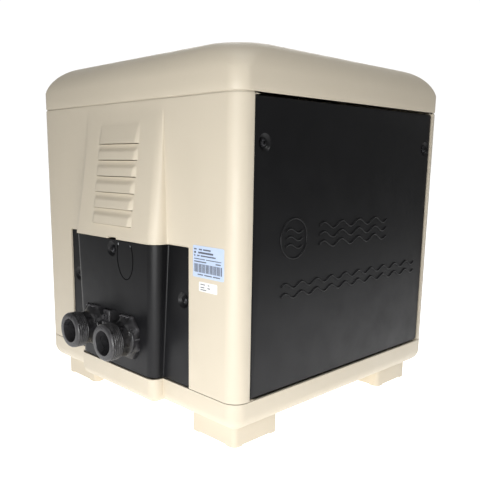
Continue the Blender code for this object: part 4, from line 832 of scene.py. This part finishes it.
def cover_screws():
    """(place, node) of the plumbing cover's three screws."""
    face = LEFT + COVER_SET_BACK
    return [
        ((face - bulge_at(0.2810)[2], CY, 0.2810), "cover_screw_top"),
        ((face, CY - 0.1500, 0.2165), "cover_screw_front"),
        ((face, CY + 0.1500, 0.2165), "cover_screw_rear"),
    ]


def cover_skin():
    """The black plumbing cover: swelling, eight-sided opening, dishes for its screws and the knock-out's groove."""
    face = LEFT + COVER_SET_BACK
    rows = []
    for i in range(9):
        z = COVER_LOW + (COVER_HIGH - COVER_LOW) * i / 8
        front_half, rear_half, proud = bulge_at(z)
        row = [(face, CY + COVER_REAR - 0.0015, z)]
        row += [(face - out, CY + y, z) for y, out in bulge_side(rear_half - 0.001, proud, 12)]
        row += [(face - out, CY - y, z) for y, out in reversed(bulge_side(front_half - 0.001, proud, 12))]
        rows.append([*row, (face, CY + COVER_FRONT + 0.0028, z)])
    outline = chamfered(CY + OPENING_Y, OPENING_HALF, OPENING_LOW, OPENING_HIGH, 0.015, 0.019)
    steps = [(CUT, prism(outline, LEFT - 0.06, LEFT + 0.02, "X"))]
    for place, _ in cover_screws():
        steps += dimple(place, (-1, 0, 0))
    bm = worked(sheet_of(rows), steps, WALL)
    made = piece("plumbing_cover_skin", bm, "cabinet", "black_panel", nodes=("plumbing_cover",), smooth=30)
    soften(made, 0.0005, 2, 40)
    centre, middle, wide, tall = CY - 0.0370, 0.2710, 0.0215, 0.0360
    route = []
    for i in range(49):
        a = math.radians(135 + 270 * i / 48)
        y, z = centre + wide * math.cos(a), middle + tall * math.sin(a)
        if z < COVER_HIGH - 0.0006:
            route.append((face - bulge_at(z)[2] + 0.0003, y, z))
    tube("knock_out_groove", route, 0.00085, "cabinet", "black_panel", dark_groove(), sides=2)
    ticks = []
    for _, y, z in (route[0], route[-1]):
        proud = face - bulge_at(z)[2]
        ticks.append(block((proud - 0.0003, y - 0.0006, z - 0.0045), (proud + 0.001, y + 0.0006, z), 0.0002, 1))
    piece("knock_out_slots", merged(*ticks), "cabinet", "sheet_steel")


def screws():
    """Pan-head screws with a washer face and a cross recess, in place of the plain ones."""
    places = [(place, node, "cabinet", (-1, 0, 0)) for place, node in cover_screws()]
    for side, x in zip(SIDES, PANEL_SCREW_X):
        place = (CX + x, PANEL_LOW.y, PANEL_SCREW_Z)
        places.append((place, "service_screw_" + side, "service_panel", (0, -1, 0)))
    for side, x in zip(SIDES, LID_SCREW_X):
        places.append(((CX + x, REAR + 0.0040, LID_SCREW_Z), "lid_screw_" + side, "cabinet", (0, 1, 0)))
    head = [(0, -0.0003), (0.0022, -0.0004), (0.0040, -0.0010), (0.0050, -0.0019), (0.0052, -0.0026)]
    head += [(0.0062, -0.0028), (0.0063, -0.0037), (0.0024, -0.0037), (0.0022, -0.0150), (0, -0.0177)]
    for place, node, body, out in places:
        place, out = Vector(place), Vector(out)
        turn = Matrix.Translation(place) @ out.to_track_quat("Z", "Y").to_matrix().to_4x4()
        spin = Matrix.Rotation(math.radians(17 * len(node)), 4, "Z")
        steps = []
        for a, b in ((0.0030, 0.0007), (0.0007, 0.0030)):
            recess = block((-a, -b, -0.0028), (a, b, 0.0040))
            recess.transform(turn @ spin)
            steps.append((CUT, recess))
        bm = worked(lathe(head, place, out, 32), steps)
        piece(node + "_head", bm, body, "screw_steel", nodes=(node,), smooth=30)


# ---------------- water header


def thread(y):
    """One stub's surface: bore, open end with a wide chamfer, helical thread, then the smooth neck to its root."""
    sides, per_turn = 72, 8
    rows = []
    start = LEFT - STUB_END
    count = int(THREAD_LONG / THREAD_PITCH * per_turn)
    first = 0.0038
    profile = [(STUB_BORE, 0.060), (STUB_BORE, 0.0008), (STUB_BORE + 0.0008, 0.0), (STUB_OUTER - 0.0034, 0.0)]
    profile += [(STUB_OUTER - 0.0026, 0.0003), (STUB_OUTER - 0.0006, 0.0026), (STUB_OUTER - 0.0004, first - 0.0004)]
    profile = [(r, d, 0.0) for r, d in profile]
    for k in range(count + 1):
        d = first + THREAD_LONG * k / count
        fade = eased((THREAD_LONG - (d - first)) / 0.004) * eased((d - first + 0.0012) / 0.002)
        profile.append((STUB_OUTER - THREAD_DEPTH, d, fade))
    end = first + THREAD_LONG
    profile += [(STUB_OUTER - THREAD_DEPTH, end + 0.0004, 0.0), (STUB_NECK, end + 0.0022, 0.0)]
    profile += [(STUB_NECK, 0.034, 0.0), (STUB_NECK + 0.0006, 0.0375, 0.0), (STUB_NECK + 0.0022, 0.0395, 0.0)]
    profile.append((STUB_NECK, 0.075, 0.0))
    for radius, d, crest in profile:
        ring = []
        for i, a in enumerate(turns(sides)):
            phase = (d / THREAD_PITCH + i / sides) % 1.0
            ridge = max(0.0, 1 - abs(phase - 0.5) / 0.36)
            r = radius + THREAD_DEPTH * crest * min(1.0, ridge * 1.5)
            ring.append((start + d, y + r * math.cos(a), STUB_Z + r * math.sin(a)))
        rows.append(ring)
    bm = sheet_of(rows, closed=True)
    bmesh.ops.recalc_face_normals(bm, faces=bm.faces)
    return bm


def boss(y, low, high):
    """A stub's root: eight-sided where it leaves the cover's opening, drawn in to a round neck at the thread."""
    corners = chamfered(y, 0.0285, low, high, 0.0150, 0.0180)
    outline = []
    for one, two in zip(corners, corners[1:] + corners[:1]):
        for k in range(6):
            outline.append((one[0] + (two[0] - one[0]) * k / 6, one[1] + (two[1] - one[1]) * k / 6))
    drawn_in = [(0.0125, 0.0), (-0.0240, 0.0), (-0.0250, 0.04), (-0.0300, 0.55), (-0.0335, 0.86)]
    drawn_in += [(-0.0380, 1.0), (-0.0480, 1.0)]
    rows = []
    for x, blend in drawn_in:
        row = []
        for a, b in outline:
            t = STUB_NECK / math.hypot(a - y, b - STUB_Z)
            round_y, round_z = y + (a - y) * t, STUB_Z + (b - STUB_Z) * t
            row.append((LEFT + x, a + (round_y - a) * blend, b + (round_z - b) * blend))
        rows.append(row)
    return sheet_of(rows, closed=True, caps=2)


def header():
    """The water header: threaded stubs, eight-sided collars with ribs, and the moulded body behind them."""

    def rib(front, back, y, half, low, high, round_edges=0.0003, steps=1):
        """A block from front to back of the left side's plane, and half wide either way of y."""
        return block((LEFT - front, y - half, low), (LEFT + back, y + half, high), round_edges, steps)

    parts, bores = [], []
    low, high = OPENING_LOW + 0.0012, OPENING_HIGH - 0.0012
    for side in (-1, 1):
        y = CY + HEADER_Y + side * STUB_Y
        parts.append(thread(y))
        inner = rod((LEFT - 0.07, y, STUB_Z), (LEFT + 0.06, y, STUB_Z), STUB_BORE + 0.0005, 48)
        parts.append(worked(boss(y, low, high), [(CUT, inner)]))
        bores.append((CUT, rod((LEFT - 0.05, y, STUB_Z), (LEFT + 0.06, y, STUB_Z), STUB_BORE, 48)))
        for k in (-1, 0, 1):
            parts.append(rib(0.0320, 0.008, y + k * 0.0085, 0.0007, high - 0.0014, high + 0.0004))
        for k in (-1, 1):
            parts.append(rib(0.0300, 0.008, y + k * 0.0283, 0.0006, STUB_Z + 0.0022, STUB_Z + 0.0038))
    middle = CY + HEADER_Y
    header_low, header_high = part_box("header_manifold")
    back = (header_high.x - 0.0005, middle + 0.0855, header_high.z - 0.0005)
    parts.append(worked(block((LEFT + 0.0065, middle - 0.0855, header_low.z + 0.0005), back, 0.005, 3), bores))
    parts.append(rib(0.0260, 0.012, middle, 0.024, 0.1190, 0.1540, 0.0035, 3))
    parts.append(rib(0.0220, 0.012, middle + 0.014, 0.010, 0.1500, 0.1735, 0.0030, 3))
    for y in (-0.018, -0.009, 0.0, 0.009, 0.018):
        parts.append(rib(0.0268, 0.0, middle + y, 0.0010, 0.1200, 0.1535, 0.0005))
    for y, z in ((0.013, 0.1620), (-0.014, 0.1375), (0.0, 0.1250)):
        washer = rod((LEFT - 0.0190, middle + y, z), (LEFT - 0.0255, middle + y, z), 0.0058, 24)
        bolt = rod((LEFT - 0.0250, middle + y, z), (LEFT - 0.0290, middle + y, z), 0.0042, 6)
        parts += [washer, bolt]
    for y, z in ((-0.0770, 0.1000), (-0.0770, 0.1770), (0.0770, 0.1000), (0.0770, 0.1770)):
        parts.append(rod((LEFT + 0.0070, middle + y, z), (LEFT + 0.0020, middle + y, z), 0.0052, 6))
    made = piece("header_skin", merged(*parts), "cabinet", "header_plastic", nodes=("header_manifold",), smooth=32)
    soften(made, 0.0004, 2, 50)


def bypass_spring():
    """The bypass valve's spring as a smooth coil."""
    low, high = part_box("bypass_spring")
    wire, lift, coils, per_coil = 0.0008, 0.012, 4, 28
    x, y, coil = (low.x + high.x) / 2, (low.y + high.y) / 2, (high.x - low.x) / 2 - wire
    start, end = low.z + wire, high.z - wire
    rows = []
    for i in range(coils * per_coil + 1):
        a = 2 * math.pi * i / per_coil
        out = Vector((math.cos(a), math.sin(a), 0))
        centre = Vector((x, y, start + (end - start) * i / (coils * per_coil))) + out * coil
        rows.append([centre + out * (wire * math.cos(b)) + Vector((0, 0, wire * math.sin(b))) for b in turns(8)])
    bm = sheet_of(rows, closed=True, caps=1)
    made = piece("bypass_spring_coil", bm, "cabinet", "sheet_steel", nodes=("bypass_spring",))
    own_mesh(made)


# ---------------- front panel and labels


def front_panel():
    """The black service panel with pressed edges, and two dishes for its screws."""
    middle, half = (PANEL_LOW.x + PANEL_HIGH.x) / 2, (PANEL_HIGH.x - PANEL_LOW.x) / 2
    low, high = PANEL_LOW.z, PANEL_HIGH.z
    face = PANEL_LOW.y

    def ring(inset, y):
        corners = rounded_rectangle(half - inset, (high - low) / 2 - inset, 0.004, 5, (middle, (low + high) / 2))
        return [(x, y, z) for x, z in corners]

    rows = [ring(0, face + 0.0108), ring(0, face + 0.0034)]
    for i in range(1, 6):
        a = math.radians(90 * i / 5)
        rows.append(ring(0.0034 * (1 - math.cos(a)), face + 0.0034 * (1 - math.sin(a))))
    steps = []
    for x in PANEL_SCREW_X:
        steps += dimple((CX + x, face, PANEL_SCREW_Z), (0, -1, 0))
    bm = worked(sheet_of(rows, closed=True, caps=1), steps, 0.0016)
    piece("service_panel_skin", bm, "service_panel", "black_panel", nodes=("front_service_panel",), smooth=30)
    relief(face)


def ripple(start, end, z, high, long):
    """Points along a sine wave."""
    steps = max(12, int((end - start) / 0.0022))
    line = []
    for i in range(steps + 1):
        x = start + (end - start) * i / steps
        line.append((x, z + high * math.sin(2 * math.pi * (x - start) / long)))
    return line


def relief(face):
    """A raised motif on the panel: a ring with a ripple in it, and rows of ripples beside and under it."""
    y = face + 0.0002
    x, z = CX - 0.144, 0.312
    pattern = [([(x + 0.030 * math.cos(a), z + 0.030 * math.sin(a)) for a in turns(40)], True)]
    for k in (-1, 0, 1):
        pattern.append((ripple(x - 0.019, x + 0.019, z + k * 0.0115, 0.0035, 0.038), False))
    for k in range(3):
        pattern.append((ripple(CX - 0.084, CX + 0.106, 0.298 + k * 0.0145, 0.0050, 0.0475), False))
    for k in range(2):
        pattern.append((ripple(CX - 0.171, CX + 0.208, 0.226 + k * 0.0150, 0.0040, 0.0379), False))
    for i, (line, closed) in enumerate(pattern):
        route = [(x, y, z) for x, z in line]
        tube(f"panel_relief_{i:02d}", route, 0.0017, "service_panel", "black_panel", None, closed)


def sticker(name, x, y_low, y_high, z_low, z_high, look):
    """A thin sheet with rounded corners, stuck to the left side."""
    middle = ((y_low + y_high) / 2, (z_low + z_high) / 2)
    outline = rounded_rectangle((y_high - y_low) / 2, (z_high - z_low) / 2, 0.0020, 5, middle)
    piece(name, prism(outline, x - 0.0001, x + 0.0002, "X"), "cabinet", "cream", look)


def labels():
    """Two plain stickers on the left side, with grey rules instead of words."""
    x = LEFT - 0.00015
    blue = label_stock("label_blue", (0.52, 0.62, 0.80), (0.60, 0.69, 0.85))
    white = label_stock("label_white", (0.82, 0.82, 0.80), (0.76, 0.76, 0.74))
    ink = label_stock("label_ink", (0.10, 0.11, 0.14), (0.14, 0.15, 0.18))
    sticker("data_label", x, CY - 0.2405, CY - 0.1749, 0.2575, 0.3038, blue)
    sticker("small_label", x, CY - 0.2270, CY - 0.1880, 0.2372, 0.2515, white)
    parts = []

    def bars(edge, wide, rows):
        """Rules on a label as wide as that, from its right edge: each row is (height, thickness, spans)."""
        for z, tall, spans in rows:
            for a, b in spans:
                parts.append(block((x - 0.0003, edge - wide * b, z - tall / 2), (x, edge - wide * a, z + tall / 2)))

    lines = (
        (0.2985, 0.0020, ((0.04, 0.12), (0.20, 0.30), (0.34, 0.58))),
        (0.2938, 0.0026, ((0.04, 0.10), (0.18, 0.66))),
        (0.2893, 0.0018, ((0.04, 0.08), (0.14, 0.22), (0.26, 0.74))),
        (0.2845, 0.0011, ((0.04, 0.40), (0.44, 0.92))),
        (0.2805, 0.0016, ((0.04, 0.44), (0.74, 0.90))),
        (0.2618, 0.0016, ((0.16, 0.34), (0.38, 0.62), (0.66, 0.88))),
    )
    bars(CY - 0.1749, 0.0656, lines)
    for k in range(23):
        y = CY - 0.1775 - k * 0.0026
        wide = 0.0017 if k % 3 else 0.0010
        parts.append(block((x - 0.0003, y - wide, 0.2650), (x, y, 0.2775)))
    lines = (
        (0.2478, 0.0012, ((0.10, 0.34), (0.50, 0.58))),
        (0.2435, 0.0012, ((0.10, 0.30), (0.48, 0.62))),
        (0.2400, 0.0012, ((0.10, 0.42),)),
    )
    bars(CY - 0.1880, 0.0390, lines)
    piece("label_rules", merged(*parts), "cabinet", "cream", ink)


# ---------------- stage


def floor_painted_glow():
    """A pale floor with a painted pool of light: it glows bright round the cabinet and behind it, and is painted dimmer
    far out to the sides.
    """
    made = Finish("floor_painted_glow", (0.30, 0.30, 0.30), 0.9)
    split = made.nodes.new("ShaderNodeSeparateXYZ")
    made.links.new(made.place, split.inputs["Vector"])
    away = made.nodes.new("ShaderNodeVectorMath")
    away.operation = "LENGTH"
    made.links.new(made.place, away.inputs[0])
    # painted light: the colour and the glow are brighter near the cabinet and behind it, and painted darker far out
    near = made.ramp(away.outputs["Value"], 0.45, 1.60, 1.0, 0.0, soft=True)
    right = made.ramp(split.outputs["X"], -1.30, -0.10, soft=True)
    behind = made.joined("MULTIPLY", right, made.ramp(split.outputs["Y"], -1.30, -0.10, soft=True))
    bright = made.joined("MAXIMUM", near, behind)
    made.tint(bright, (0.85, 0.85, 0.85))
    made.shader.inputs["Emission Color"].default_value = (1, 1, 1, 1)
    made.shader.inputs["Specular IOR Level"].default_value = 0.0
    made.links.new(made.ramp(bright, 0, 1, 0.05, 0.92), made.shader.inputs["Emission Strength"])
    made.bump(made.noise(40.0, 3.0), 0.0002, 0.3)
    return made.done()


def surround():
    """White behind the cabinet near the horizon, dim everywhere else."""
    world = bpy.data.worlds.new("studio")
    world.use_nodes = True
    nodes, links = world.node_tree.nodes, world.node_tree.links
    place = nodes.new("ShaderNodeTexCoord").outputs["Generated"]
    dot = nodes.new("ShaderNodeVectorMath")
    dot.operation = "DOT_PRODUCT"
    dot.inputs[1].default_value = (0.70, 0.70, -0.25)
    links.new(place, dot.inputs[0])
    level = nodes.new("ShaderNodeMapRange")
    level.interpolation_type = "SMOOTHSTEP"
    level.inputs["From Min"].default_value = 0.45
    level.inputs["From Max"].default_value = 0.82
    level.inputs["To Min"].default_value = SKY
    level.inputs["To Max"].default_value = 1.05
    links.new(dot.outputs["Value"], level.inputs["Value"])
    links.new(level.outputs["Result"], nodes["Background"].inputs["Strength"])
    nodes["Background"].inputs["Color"].default_value = (1, 1, 1, 1)
    bpy.context.scene.world = world


def floor_and_light():
    """A pale floor with a painted glow, a soft surround and five soft lights."""
    bm = bmesh.new()
    bmesh.ops.create_grid(bm, x_segments=2, y_segments=2, size=30)
    floor = shape("floor", bm)
    floor.data.materials.append(floor_painted_glow())
    surround()
    for name, place, size, power, aim in (
        ("low", (-0.95, -0.62, 0.13), 0.65, 6.2, (LEFT, CY - 0.12, 0.16)),
        ("near", (-1.35, -0.98, 0.28), 0.90, 5.6, (LEFT, CY - 0.1, 0.20)),
        ("key", (-0.1, -2.0, 1.9), 0.35, 9.0, (CX, FRONT, 0.50)),
        ("top", (-0.2, -0.4, 2.5), 1.5, 11.0, (CX, CY, 0.4)),
        ("back", (2.2, 2.0, 1.8), 2.0, 16.0, (CX, CY, 0.3)),
    ):
        light = bpy.data.lights.new(name, "AREA")
        light.shape = "DISK"
        light.size = size
        light.energy = power
        holder = linked(name, light)
        holder.location = place
        holder.visible_camera = False
        reach = Vector(aim) - Vector(place)
        holder.rotation_euler = reach.to_track_quat("-Z", "Y").to_euler()


def camera():
    """The main view: facing the front left corner from a little above the middle."""
    yaw, pitch, roll = -0.7615, 0.1866, 0.0095
    back = Vector((math.sin(yaw) * math.cos(pitch), -math.cos(yaw) * math.cos(pitch), math.sin(pitch)))
    side = Vector((0, 0, 1)).cross(back).normalized()
    up = back.cross(side)
    level = side * math.cos(roll) + up * math.sin(roll)
    tall = up * math.cos(roll) - side * math.sin(roll)
    turn = Matrix((level, tall, back)).transposed().to_4x4()
    lens = bpy.data.cameras.new("camera")
    lens.sensor_width = 36
    lens.lens = 46.07
    lens.shift_x = 0.03756
    lens.shift_y = 0.07944
    lens.clip_end = 100
    made = linked("camera", lens)
    made.matrix_world = Matrix.Translation((CX - 0.8476, CY - 0.8459, 0.4221)) @ turn
    bpy.context.scene.camera = made


def main():
    camera()
    floor_and_light()
    dress_frame()
    lid()
    left_skin()
    base_skin()
    seam_step()
    corner_tabs()
    cover_skin()
    header()
    bypass_spring()
    front_panel()
    screws()
    labels()
    bpy.context.scene.view_settings.view_transform = "Standard"


main()
